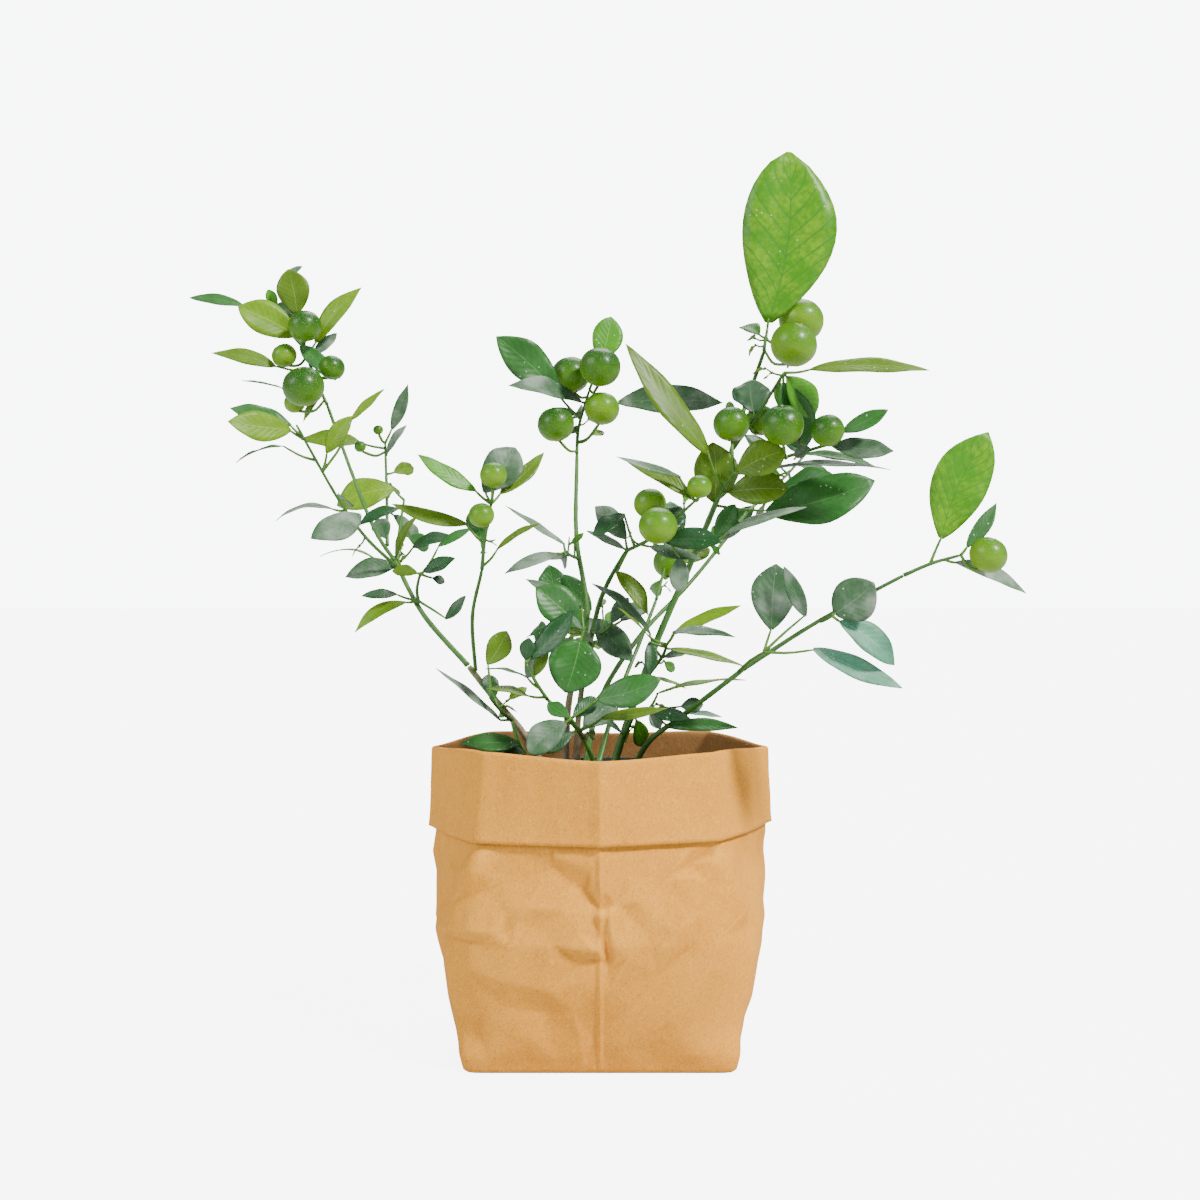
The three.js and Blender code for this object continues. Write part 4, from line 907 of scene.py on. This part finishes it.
addSpray("left_low_spray", "bough_left", 0.93,
         [(-104, -9, 225), (-115, -20, 242), (-128, -48, 271)], 23, 62, [
    ("mid", 0.95, 164, 0, 6.5, 27.5, 10, 55, 0.35, -29), ("lime", 0.94, 175, 12, 7, 29, 13, 78, 0.1, -31),
    ("mid", 0.85, 199, 5, 14, 22.5, 8, 10, 0.35, -44), ("lime", 0.8, 54, 8, 8, 20, 9, 75, 0.1, 23),
    ("lime", 0.8, 43, 0, 25.5, 20, 5.5, 50, 0.1, 18), ("pale", 0.58, 192, 10, 5, 26, 8, 18, 0.6, -17),
    ("dusty", 0.45, 210, 28, 7, 28, 14, 68, 0.2, -150), ("dark", 0.45, 22, -5, 1.5, 19.5, 7, 50, 0.3)])
addSpray("left_twig_spray", "bough_left_top", 0.12, [(-101, 40, 246), (-105, 66, 274)], 37, 60, [
    ("olive", 0.95, 178, 5, 12.5, 29, 10, 60, 0.15, -12),
    ("dusty", 1.0, 71, -5, 7, 24.5, 6.5, 55, 0.1, -6), ("pale", 0.88, 54, 10, 1, 17.5, 6, 50),
    ("dusty", 0.05, 122, -30, 1, 16, 9, 65)], [(1.0, 117, 16, 7.3, 2.5), (0.92, 169, 5, 12.4, 2.9)],
    fill=2)
addSpray("left_inner_spray", "bough_left", 0.88,
         [(-93, 14, 220), (-93, 25, 231), (-92.5, 38, 244.5)], 41, 52, [
    ("lime", 1.0, 197, 8, 6.7, 28.7, 17, 65, 0.35, -70), ("olive", 0.05, 62, 10, 3, 22, 6, 50, 0.3, 60),
    ("dusty", 0.02, 193, 8, 1, 24, 10, 65), ("olive", 0.02, 173, -5, 9, 30, 4, 8, 0.6, 4),
    ("dark", 0.08, 15, 10, 9, 20.5, 6.5, 60, 0.2, 33)])
addSpray("left_under_spray", "bough_left", 0.55, [(-81.5, -8, 202), (-79.5, -14, 209)], 47, 48, [
    ("lime", 0.0, 211, 8, 5, 27, 7, 50, 0.45, -26), ("dark", 0.0, 183, 15, 10, 16, 5, 60, 0.2, -21),
    ("olive", 1.0, 175, -10, 1, 12, 6, 60), ("dark", 1.0, 23, 10, 1.5, 16, 7, 65),
    ("mid", 0.9, 29, -5, 15.5, 17.5, 5, 55, 0.2, 30), ("dark", 1.0, 340, -20, 6, 6, 4.5, 60),
    ("dark", 0.0, 48, 12, 15, 14.5, 6, 60, 0.1, -82)], fill=0)
addSpray("left_mid_spray", "upright_left", 1, [(-48, -54, 224), (-45, -62, 237)], 53, 52, [
    ("bright", 1.0, 148, 5, 8, 28.5, 8, 60, 0.1, -9), ("dusty", 1.0, 57, -12, 6, 25, 17, 78, 0.1, 69),
    ("olive", 1.0, 46, -5, 6, 30, 7.5, 60, 0.1, 6), ("olive", 0.38, 165, 5, 10.5, 33, 7, 60, 0.1, -36),
    ("olive", 0.02, 31, 8, 9, 22.5, 5.5, 35, 0.15, 18)],
    [(0.7, 124, 59, 7.2, 5.4), (1.0, 84, 23, 12.7, 5.6)], ripe=(0, 1))
addSpray("low_left_spray", "stem_left", 0.45, [(-42, -27, 148), (-47, -36, 155)], 61, 48, [
    ("pale", 0.0, 140, 12, 4, 38.5, 6, 30, 0.1, 58), ("olive", 1.0, 60, -5, 14.5, 17, 11, 75, 0.1, 36),
    ("mid", 0.0, 178, 15, 12, 27, 10, 50, 0.3, 114), ("dark", 0.0, 172, 5, 16.5, 15, 8, 50, 0.1, 123)])
addSpray("centre_top_spray", "stem_centre", 1, [(-10, 44, 280), (-5, 48, 298)], 71, 70, [
    ("bright", 1.0, 77, -12, 14.5, 24, 15, 80, 0.05, -8), ("mid", 0.6, 138, 3, 16, 40, 18.5, 80, 0.05, -6),
    ("dusty", 0.82, 172, 12, 1.5, 43, 11, 55, 0.15), ("dusty", 0.7, 187, -5, 3, 16, 8, 60),
    ("dusty", 0.82, 1, -8, 15, 52, 16.5, 62, 0.2)],
    [(0.9, 127, -12, 13.8, 9.4), (1.0, 60, 56, 18, 9.7), (0.2, 54, 11, 20.3, 8.3),
     (0.05, 129, 21, 16.8, 8.7)], fill=2, ripe=(2,))
addSpray("centre_mid_spray", "stem_centre", 0.68, [(-13, 14, 217.5), (-15.5, 2, 219)], 83, 50, [
    ("pale", 1.0, 147, 5, 3, 32.5, 5.5, 35, 0.12, -60), ("dusty", 0.6, 190, 5, 1, 11, 4.5, 50, 0.3),
    ("dusty", 1.0, 200, 8, 3, 26.5, 7.5, 45, 0.45)])
addSpray("heart_spray", "stem_twin", 0.42, [(-5, -20, 181), (-7, -42, 184.5)], 89, 48, [
    ("mid", 1.0, 254, 10, 4.4, 23.5, 23, 85), ("mid", 1.0, 138, 5, 1.5, 26, 16.5, 78),
    ("pale", 1.0, 133, 25, 2, 11, 4, 50), ("dusty", 1.0, 155, 0, 10.5, 29, 7, 45, 0.15, -65)])
addSpray("centre_right_spray", "stem_twin", 1, [(24, -40, 225), (40, -52, 239)], 97, 50, [
    ("dusty", 0.0, 134, 8, 4.7, 20, 11, 65, 0.2, -39), ("dark", 0.15, 215, 12, 15.4, 18, 8, 60, 0.2, -109),
    ("pale", 0.0, 155, 10, 1.5, 18.5, 5, 45), ("dusty", 0.25, 346, 12, 4, 23, 6.5, 55, 0.15),
    ("dark", 0.5, 358, 20, 4, 26.5, 11, 62, 0.15, -39),
    ("dark", 0.55, 62, -12, 3.5, 18.5, 11.5, 70, 0.1, -90),
    ("dusty", 0.6, 267, 5, 13.5, 15, 8.5, 65, 0.1, 33), ("olive", 1.0, 150, 8, 1, 32, 8, 60),
    ("dusty", 1.0, 163, 0, 11.3, 29, 5, 40, 0.1, -42),
    ("olive", 0.0, 306, 10, 10.5, 24, 8.5, 60, 0.15, -66)],
    [(0.45, 69, 70, 13.9, 8.2), (0.45, 95, 4, 14.5, 7), (1.0, 76, 35, 7, 5.2)], ripe=(0, 1, 2))
addSpray("centre_low_spray", "stem_twin", 0.45, [(1, -14, 183), (5, -24, 186)], 101, 42, [
    ("dusty", 0.0, 310, 20, 7, 27.5, 13, 72, 0.1, 133), ("dusty", 0.8, 56, 5, 3, 13.5, 7, 70)])
addSpray("right_heart_spray", "stem_mid", 0.93, [(54, -20, 246), (58, -30, 252)], 113, 75, [
    ("olive", 0.5, 127, 2, 15, 62, 13.5, 62, 0.2, -15), ("olive", 0.05, 92, 25, 2, 27, 20, 82),
    ("olive", 1.0, 24, 15, 1, 23, 16, 75), ("olive", 0.4, 2, 20, 3, 27, 16, 72),
    ("pale", 1.0, 1, 5, 3, 64, 8, 18, 0.12), ("mid", 0.1, 16, 0, 22, 51, 22, 74, 0.1, -24)],
    [(1.0, 91, -24, 24.5, 8.1)])
addSpray("right_low_spray", "stem_mid", 0.8, [(47, -14, 221), (51, -22, 223.5)], 117, 50, [
    ("pale", 1.0, 18, 12, 4, 38, 8, 35, 0.1, 20), ("pale", 0.8, 31, 22, 1, 16, 7, 55),
    ("mid", 0.8, 59, -15, 2, 18, 9.5, 68)])
addSpray("right_head_spray", "bough_top", 0.3, [(70, -20, 280), (79, -34, 295)], 127, 75, [
    ("olive", 1.0, 358.5, 8, 10.7, 51, 9.5, 48, 0.22, 8), ("dark", 0.4, 92, -35, 3, 20, 17, 75),
    ("mid", 1.0, 293, -28, 4, 34, 18, 80, 0.1, -30), ("bright", 1.0, 312, -30, 2, 24, 15, 75)],
    [(0.3, 28, -37, 8.3, 7.1)])
addSpray("right_fruit_spray", "bough_top", 0.12,
         [(82, -22, 260), (100, -34, 265), (102.5, -38, 268.5)], 131, 70, [
    ("mid", 1.0, 26, 3, 1, 22, 8.5, 60), ("dusty", 0.6, 354, 8, 2, 27, 11, 62),
    ("mid", 0.4, 351, 12, 2, 32, 7, 35), ("pale", 0.35, 20, 30, 2, 11, 6, 60)],
    [(1.0, 173, 45, 8.5, 7.2), (0.33, 108, 55, 22, 9.2)])
addSpray("top_spray", "bough_top", 1, [(76, 15, 317), (77, 16, 323)], 139, 60, [
    ("fresh", 1.0, 83, 0, 0.5, 80.5, 43.5, 87, 0.05)],
    [(0.5, 30, -24, 22, 10.5), (0.05, 4, 39, 16, 10.6)], fill=2, ripe=(0, 1))
addSpray("back_right_spray", "stem_back", 1, [(88, 90, 254), (106, 100, 273)], 149, 60, [
    ("mid", 0.4, 10, 35, 5, 34, 15, 60, 0.2), ("dark", 0.9, 110, -50, 4, 28, 14, 60, 0.2),
    ("dark", 0.7, 140, 10, 4, 26, 12, 60, 0.2)], [(0.6, 300, -20, 12, 8.2)], fill=7, fillLean=-60)
addSpray("arm_inner_spray", "stem_right", 0.96, [(62, -62, 172), (67, -70, 176)], 151, 60, [
    ("dusty", 1.0, 85, -8, 9.3, 28, 18.5, 80, 0.1, -15), ("dusty", 1.0, 114, 5, 22.3, 23, 7, 50, 0.1, -74),
    ("teal", 1.0, 336, 8, 19.5, 40, 10.5, 55, 0.1, 29)], fill=0, fillLean=25)
addSpray("arm_outer_spray", "arm_right", 0.45, [(92, -74, 189.5), (93.5, -80, 191)], 163, 50, [
    ("dusty", 1.0, 38, 5, 1, 20.5, 18.5, 82), ("teal", 1.0, 322, 10, 3.4, 29.5, 13, 65, 0.2)],
    fill=0, fillLean=30)
addSpray("arm_tip_spray", "arm_right", 1, [(132, -91, 212), (142, -96, 215)], 173, 68, [
    ("fresh", 0.45, 66, 0, 10.3, 47, 23, 86, 0.05, 1), ("mid", 1.0, 55, -8, 3.6, 22.3, 6.5, 60, 0.1, -5),
    ("pale", 0.7, 339, 8, 5, 38, 8.5, 50, 0.25, 8)], [(1.0, 0, 8, 10.6, 7.5)],
    fill=0, fillLean=-20, ripe=(0,))
addSpray("low_right_spray", "stem_mid", 0.38, [(27, -20, 172), (29, -28, 178)], 181, 55, [
    ("lime", 1.0, 23, 5, 4.8, 32.5, 7, 45, 0.1, 40), ("dusty", 1.0, 356, 3, 6.4, 30, 6.5, 35, 0.35, 74),
    ("olive", 0.85, 347, 8, 1, 34.5, 6.5, 30, 0.18), ("dusty", 0.5, 15, 15, 1, 13.5, 5.5, 45),
    ("olive", 0.1, 342, 10, 1, 17, 4, 15), ("dusty", 0.5, 139, 5, 11.5, 37, 8, 40, 0.15, -24),
    ("olive", 1.0, 137, 15, 10.5, 21, 5, 30, 0.1, 18), ("dark", 0.9, 267, 20, 8.2, 16, 6, 50, 0.1, -108)])
addSpray("low_centre_spray", "stem_mid", 0.2, [(16, -20, 148), (21, -30, 150)], 191, 52, [
    ("olive", 1.0, 9, 3, 7, 40, 6, 15, 0.25, 59), ("dark", 1.0, 349, 15, 1, 20.5, 7, 55, 0.15),
    ("dark", 1.0, 5, 12, 14, 10, 7, 70), ("teal", 1.0, 353, 8, 18, 16, 4, 30),
    ("mid", 1.0, 1, 12, 11.3, 32, 8, 40, 0.1, -45), ("pale", 1.0, 300, 25, 1.5, 9, 6, 65),
    ("dusty", 0.05, 144, 15, 2, 19.5, 5, 40, 0.15)])
addSpray("low_front_spray", "stem_front", 0.5, [(-9, -48, 142), (-12, -56, 148)], 199, 46, [
    ("mid", 1.0, 18, 10, 13, 29, 13.5, 72, 0.1, 20), ("dark", 1.0, 40, -5, 1, 14, 8, 65),
    ("olive", 0.5, 9, 8, 10.7, 29, 6.5, 45, 0.15, 22), ("dusty", 1.0, 219, 15, 2.5, 21, 13, 75),
    ("dark", 0.6, 214, 20, 2, 16, 8, 65), ("mid", 1.0, 150, -10, 1, 12, 7, 60)])
addSpray("front_left_spray", "stem_front", 1, [(-27, -52, 163), (-31, -56, 171)], 211, 44, [
    ("dark", 1.0, 82, 10, 1, 10, 6.5, 80), ("olive", 0.6, 62, 5, 1, 12.5, 6, 65),
    ("dark", 1.0, 48, -20, 2, 29, 10.5, 65), ("mid", 0.3, 167, 5, 6.3, 19, 5, 10, 0.35, -29),
    ("olive", 0.0, 170, 8, 7.5, 18, 6, 30, 0.25, 6), ("olive", 0.0, 20, 15, 1, 9, 5.5, 60)], fill=0)
addSpray("rear_spray", "stem_rear", 1, [(32, 100, 210), (35, 108, 222)], 223, 52, [
    ("mid", 0.9, 85, -40, 5, 34, 16, 70, 0.2), ("olive", 0.7, 20, -40, 4, 30, 14, 60, 0.2)],
    [(0.5, 60, -50, 12, 8.6)], fill=9, fillLean=-70)
addSpray("rear_left_spray", "stem_centre", 0.42,
         [(-14, 40, 178), (-20, 66, 180), (-24, 80, 186)], 233, 56, [
    ("mid", 0.02, 128, -25, 17.5, 24, 12, 70, 0.1, -55), ("mid", 0.95, 95, -35, 5, 32, 15, 65, 0.2),
    ("dusty", 0.75, 235, -30, 4, 28, 13, 60, 0.2)], [(0.7, 300, -30, 13, 8.4)], fill=9, fillLean=-70)

leafSet = {
    "thickness": 0.32, "stalkRadius": 0.5, "rows": 14, "columns": 6, "wave": 0.04, "twist": 0.3,
    "breadth": (0.3, 0.55), "round": (0.7, 0.95), "fullness": (0.8, 0.64), "widestShift": (0.9, 1.2),
    "arch": (0.1, 0.35), "fold": (0.08, 0.25), "draws": 9000,
}
spacing = {
    "sampleStep": 5, "stalkClear": 4, "rootSink": 1.2, "leafToLeaf": 3.2, "leafToWood": 1.6,
    "nudge": 8, "tries": 9,
}
fillRule = {"length": (17, 29), "breadth": (0.36, 0.54), "leanSpread": 50, "draws": 1000}
fineRule = {
    "twiglets": 2, "leaves": 2, "length": (7, 12), "breadth": (0.36, 0.5), "lean": (-80, -45),
    "reach": (6, 13), "draws": 5000,
}
takenWood = {"owner": [], "point": [], "gap": []}
takenLeaves = {"owner": [], "point": [], "gap": []}


def aimOf(clock, lean):
    turn, front = math.radians(clock), math.radians(lean)
    return Vector((math.cos(turn) * math.cos(front), -math.sin(front), math.sin(turn) * math.cos(front)))


def across(direction, aim):
    return (direction - aim * direction.dot(aim)).normalized()


def leafFrame(root, row, swing):
    _, clock, lean, stalk, length, width, facing, arch, turn, tint = row
    aim, face, front = aimOf(clock, lean + swing), math.radians(facing), Vector((0, -1, 0))
    up = front if abs(aim.z) > 0.9 else Vector((0, 0, 1))
    normal = across(across(up, aim) * math.cos(face) + across(front, aim) * math.sin(face), aim)
    slimness, roundness = (shareOf(*leafSet[limits], width / length) for limits in ("breadth", "round"))
    return {
        "root": root, "base": root + aimOf(clock + turn, lean + swing) * stalk, "stalk": stalk,
        "aim": aim, "normal": normal, "side": aim.cross(normal), "tint": tint,
        "length": length, "width": width, "arch": arch,
        "fullness": mix(*leafSet["fullness"], slimness),
        "widestShift": mix(*leafSet["widestShift"], slimness * (1 - roundness)),
    }


def leafHalfWidth(leaf, along):
    if along <= 0 or along >= 1:
        return 0.0
    return 0.5 * leaf["width"] * math.sin(math.pi * along ** leaf["widestShift"]) ** leaf["fullness"]


def leafPoint(leaf, along, acrossShare):
    half = leafHalfWidth(leaf, along)
    rise = leaf["arch"] * leaf["length"] * along * (1 - along)
    rise += leaf["fold"] * half * acrossShare * acrossShare
    spine = leaf["base"] + leaf["aim"] * (leaf["length"] * along)
    return spine + leaf["normal"] * rise + leaf["side"] * (half * acrossShare)


def leafSamples(leaf):
    rows = max(3, math.ceil(leaf["length"] / spacing["sampleStep"]))
    samples = [leafPoint(leaf, row / rows, share) for row in range(1, rows) for share in (-1, 0, 1)]
    return np.array(samples + [leafPoint(leaf, 1, 0)])


def stalkSamples(leaf):  # the stalk beyond the crowded place where it leaves its twig
    step, clear = spacing["sampleStep"], spacing["stalkClear"]
    count, along = int((leaf["stalk"] - clear) // step) + 1, (leaf["base"] - leaf["root"]).normalized()
    return np.array([leaf["root"] + along * (clear + step * index) for index in range(count)])


def claim(taken, owner, points, gaps):
    taken["owner"] += [owner] * len(points)
    taken["point"] += [tuple(point) for point in points]
    taken["gap"] += gaps


def isFree(samples, owner, clearOfOwn):
    for taken in (takenWood, takenLeaves):
        if not taken["point"]:
            continue
        points, gaps = np.array(taken["point"]), np.array(taken["gap"])
        if not clearOfOwn:
            others = np.array(taken["owner"]) != owner
            points, gaps = points[others], gaps[others]
        away = np.sqrt(((samples[:, None, :] - points[None]) ** 2).sum(2))
        if (away <= gaps).any():
            return False
    return True


def claimWood(owner, curve, radiusAt):
    steps = math.ceil(curve.length() / 2)
    shares = [step / steps for step in range(steps + 1)]
    gaps = [radiusAt(share) + spacing["leafToWood"] for share in shares]
    claim(takenWood, owner, [curve.at(share) for share in shares], gaps)


def placeLeaf(name, spray, row, draw, tries, clearOfOwn):
    root = spray["curve"].at(max(row[0], spacing["rootSink"] / spray["curve"].length()))
    fold = mix(*leafSet["fold"], draw())
    for attempt in range(tries):
        swing = math.ceil(attempt / 2) * (1 if attempt % 2 else -1) * spacing["nudge"]
        leaf = {**leafFrame(root, row, swing), "fold": fold}
        samples, stalk = leafSamples(leaf), stalkSamples(leaf)
        if isFree(samples, name, clearOfOwn) and (len(stalk) == 0 or isFree(stalk, name, False)):
            for group in (samples, stalk):
                claim(takenLeaves, name, group, [spacing["leafToLeaf"]] * len(group))
            return leaf
    return None


def fillRow(spray, draw):
    length = mix(*fillRule["length"], draw())
    width = length * mix(*fillRule["breadth"], draw())
    lean = spray["fillLean"] + fillRule["leanSpread"] * (draw() - 0.5)
    place, arch = mix(0.25, 1, draw()), mix(*leafSet["arch"], draw())
    return (place, 360 * draw(), lean, mix(3, 7, draw()), length, width, mix(30, 80, draw()), arch, 0, None)


def twigRadius(along):
    return mix(0.85, 0.6, along)


def hangFruit(spray, place, clock, lean, distance, radius):
    root, aim = spray["curve"].at(place), aimOf(clock, lean)
    axis = (aim * 0.45 + Vector((0, 0, 1))).normalized()
    turn = Vector((0, 0, 1)).rotation_difference(axis).to_matrix().to_4x4()
    return {"root": root, "axis": axis, "turn": turn, "middle": root + aim * distance, "radius": radius}


def prepareSprays():
    for name, limb in limbSet.items():
        claimWood(name, limb["curve"], limb["radiusAt"])
    for name, spray in spraySet.items():
        spray["radii"] = (twigRadius(0), twigRadius(1))
        spray["curve"] = limbCurve(spray)
        claimWood(name, spray["curve"], twigRadius)
        spray["hung"] = [hangFruit(spray, *row) for row in spray["fruit"]]
        for fruit in spray["hung"]:
            claim(takenWood, name, [fruit["middle"]], [fruit["radius"] + spacing["leafToWood"]])


def growSprays():
    for name, spray in spraySet.items():
        draw = seeded(spray["seed"])
        placed = [placeLeaf(name, spray, row, draw, spacing["tries"], True)
                  or placeLeaf(name, spray, row, draw, spacing["tries"], False) for row in spray["leaves"]]
        spray["grown"] = [leaf for leaf in placed if leaf]
    for name, spray in spraySet.items():
        draw = seeded(spray["seed"] + fillRule["draws"])
        middle, wanted = spray["curve"].at(0.5), len(spray["grown"]) + spray["fill"]
        for attempt in range(spray["fill"] * 3):
            if len(spray["grown"]) == wanted:
                break
            row = fillRow(spray, draw)
            tip = spray["curve"].at(row[0]) + aimOf(row[1], row[2]) * (row[3] + row[4])
            inReach = (tip - middle).length < spray["reach"]
            leaf = placeLeaf(name, spray, row, draw, 1, True) if inReach else None
            spray["grown"] += [leaf] if leaf else []


def sproutFine():  # finer side twigs with small new leaves, inside the same space
    for name, spray in spraySet.items():
        draw = seeded(spray["seed"] + fineRule["draws"])
        spray["twiglets"] = []
        wanted = min(fineRule["twiglets"], 2 * spray["fill"])  # none where open sky shows between the leaves
        for count in range(wanted * 3):
            if len(spray["twiglets"]) == wanted:
                break
            place, clock = mix(0.2, 0.98, draw()), 360 * draw()
            lean, reach = mix(*fineRule["lean"], draw()), mix(*fineRule["reach"], draw())
            base, way = spray["curve"].at(place), aimOf(clock, lean) * reach
            bent = [base, base + way * 0.5 + Vector((0, 0, 0.8)), base + way + Vector((0, 0, 3))]
            twiglet = {"curve": Curve(bent)}
            leaves = []
            for index in range(fineRule["leaves"]):
                length = mix(*fineRule["length"], draw())
                width = length * mix(*fineRule["breadth"], draw())
                turned, leant = clock + mix(-75, 75, draw()), lean + mix(-30, 30, draw())
                facing, place = mix(20, 80, draw()), 1 - 0.4 * index
                row = (place, turned, leant, 1.5, length, width, facing, *usualEnd, None)
                leaf = placeLeaf(name, twiglet, row, draw, 1, True)
                leaves += [{**leaf, "young": True}] if leaf else []
            if leaves:
                spray["twiglets"].append(twiglet)
                spray["grown"] += leaves


prepareSprays()
growSprays()
sproutFine()
print("leaves:", sum(len(spray["grown"]) for spray in spraySet.values()))

# How the tints that no leaf names are dealt out
tintShares = {"mid": 0.3, "dark": 0.55, "dusty": 0.75, "olive": 0.9, "bright": 1.0}
youngShares = {"lime": 0.35, "bright": 0.65, "olive": 1.0}


def pickTint(leaf, draw):
    value, shares = draw(), youngShares if leaf.get("young") else tintShares
    return tintNames.index(leaf["tint"] or next(name for name, limit in shares.items() if value <= limit))


def mapFaces(faces, layer, places, material):
    for face in faces:
        face.material_index = material
        for loop in face.loops:
            loop[layer].uv = places[loop.vert]


def facesOf(verts):
    return {face for vert in verts for face in vert.link_faces}


def addLeaf(bm, uvLayer, leaf, draw, tint):
    wave, twist = leafSet["wave"] * mix(0.3, 1.4, draw()), leafSet["twist"] * mix(-1, 1, draw())
    phase, curlSide, point = math.tau * draw(), mix(-0.06, 0.06, draw()), mix(0.85, 1.25, draw())
    grid = bmesh.ops.create_grid(bm, x_segments=leafSet["rows"], y_segments=leafSet["columns"], size=0.5)
    verts, faces, places = grid["verts"], facesOf(grid["verts"]), {}
    for vert in verts:
        along, share = vert.co.x + 0.5, vert.co.y * 2
        places[vert] = (along, vert.co.y + 0.5)
        bladeAlong, edge, turn = mix(0.015, 0.997, along), abs(share), twist * (along - 0.35)
        half = leafHalfWidth(leaf, bladeAlong)
        if along > 0.5:  # a more or a less drawn-out tip
            half *= mix(1.0, (half / leaf["width"] * 2) ** (point - 0.85), smooth(0.5, 1.0, along))
        half = max(half, leafSet["stalkRadius"] * 0.8 * (1 - along))
        side = leaf["side"] * math.cos(turn) + leaf["normal"] * math.sin(turn)
        normal = leaf["normal"] * math.cos(turn) - leaf["side"] * math.sin(turn)
        lift = leaf["fold"] * half * (1.5 * edge - 0.5 * edge * edge)
        ripple = wave * leaf["width"] * edge ** 2 * math.sin(along * 13 + phase + (1.7 if share > 0 else 0))
        lift += ripple * smooth(0, 0.2, along) * smooth(1, 0.8, along)
        bend = curlSide * leaf["length"] * math.sin(math.pi * bladeAlong)
        vert.co = leafPoint(leaf, bladeAlong, 0) + side * (half * share + bend) + normal * lift
    mapFaces(faces, uvLayer, places, tint)
    bmesh.ops.recalc_face_normals(bm, faces=list(faces))
    middle = leafPoint(leaf, 0.5, 0)
    middleFace = min(faces, key=lambda face: (face.calc_center_median() - middle).length)
    if middleFace.normal.dot(leaf["normal"]) < 0:
        bmesh.ops.reverse_faces(bm, faces=list(faces))


# Thin rods on the twigs: radius at the root and the end, sides, steps
thinRods = {"stalk": (0.72, 0.5, 7, 5), "pedicel": (0.62, 0.8, 8, 7), "twiglet": (0.55, 0.4, 7, 6)}


def addThinRod(bm, kind, curve):
    start, end, sides, steps = thinRods[kind]
    addRod(bm, curve, lambda along: mix(start, end, along), sides, steps, 1)


def addStalk(bm, leaf):
    base, end = leaf["root"], leafPoint(leaf, 0.04, 0)
    addThinRod(bm, "stalk", Curve([base, base.lerp(end, 0.5) - leaf["normal"] * (0.08 * leaf["stalk"]), end]))


def addFruit(bm, uvLayer, fruit, ripe):
    radius, places = fruit["radius"], {}
    verts = bmesh.ops.create_icosphere(bm, subdivisions=4, radius=radius)["verts"]
    for vert in verts:
        height = vert.co.z / radius
        places[vert] = (0.5, height * 0.5 + 0.5)
        dimple = 0.05 * math.exp((height - 1) / 0.05) + 0.07 * math.exp(-(1 + height) / 0.05)
        vert.co *= 1 - dimple + 0.012 * noise.noise(vert.co * 0.35 + fruit["middle"])
        vert.co.z *= 0.95
        vert.co = fruit["turn"] @ vert.co + fruit["middle"]
    mapFaces(facesOf(verts), uvLayer, places, int(ripe))


def addFruitTrim(bm, fruit):
    radius, before = fruit["radius"], len(bm.faces)
    spots = [fruit["middle"] + fruit["axis"] * (radius * share) for share in (0.905, -0.885)]
    top, seat = (Matrix.Translation(spot) @ fruit["turn"] for spot in spots)
    flat = Matrix.Diagonal((1, 1, 0.6, 1))
    bmesh.ops.create_icosphere(bm, subdivisions=2, radius=radius * 0.065, matrix=top @ flat)
    paint(bm, before, 0)
    before, size = len(bm.faces), {"radius1": radius * 0.16, "radius2": radius * 0.30, "depth": radius * 0.1}
    for vert in bmesh.ops.create_cone(bm, cap_ends=True, segments=20, **size)["verts"]:  # five short sepals
        lobe = 1 + 0.28 * math.cos(5 * math.atan2(vert.co.y, vert.co.x))
        vert.co = seat @ Vector((vert.co.x * lobe, vert.co.y * lobe, vert.co.z))
    paint(bm, before, 1)


def addPedicel(bm, fruit):
    root, seat = fruit["root"], fruit["middle"] - fruit["axis"] * (fruit["radius"] * 0.9)
    bow = fruit["axis"] * ((seat - root).length * 0.2)
    addThinRod(bm, "pedicel", Curve([root, root.lerp(seat, 0.5) - bow, seat]))


def buildSprays():
    for name, spray in spraySet.items():
        draw, leaves, twigs = seeded(spray["seed"] + leafSet["draws"]), bmesh.new(), bmesh.new()
        uvLayer, length = leaves.loops.layers.uv.new("leafMap"), spray["curve"].length()
        sides, ridge = barkShape["twigSides"], barkShape["twigRidge"]
        addRod(twigs, spray["curve"], knotted(twigRadius, length), sides, rodSteps(length), 0, ridge)
        for twiglet in spray["twiglets"]:
            addThinRod(twigs, "twiglet", twiglet["curve"])
        for leaf in spray["grown"]:
            addLeaf(leaves, uvLayer, leaf, draw, pickTint(leaf, draw))
            addStalk(twigs, leaf)
        if spray["hung"]:
            peel, trim = bmesh.new(), bmesh.new()
            peelMap = peel.loops.layers.uv.new("peelMap")
            for index, fruit in enumerate(spray["hung"]):
                addFruit(peel, peelMap, fruit, index in spray["ripe"])
                addFruitTrim(trim, fruit)
                addPedicel(twigs, fruit)
            skins, trims = [finish["peel"], finish["ripePeel"]], [finish["scar"], finish["calyx"]]
            makePiece(name + "_fruit", peel, skins, [name])
            makePiece(name + "_scars_and_calyxes", trim, trims, [name])
        bmesh.ops.recalc_face_normals(twigs, faces=twigs.faces)
        makePiece(name + "_twigs", twigs, [finish["greenStem"], finish["shoot"]], [name])
        blades = makePiece(name + "_leaves", leaves, leafTops + leafUnders, [name])
        addSolidify(blades, leafSet["thickness"], 0, len(leafTops))


buildSprays()
print("sprays dressed:", len(spraySet))

bpy.context.view_layer.update()
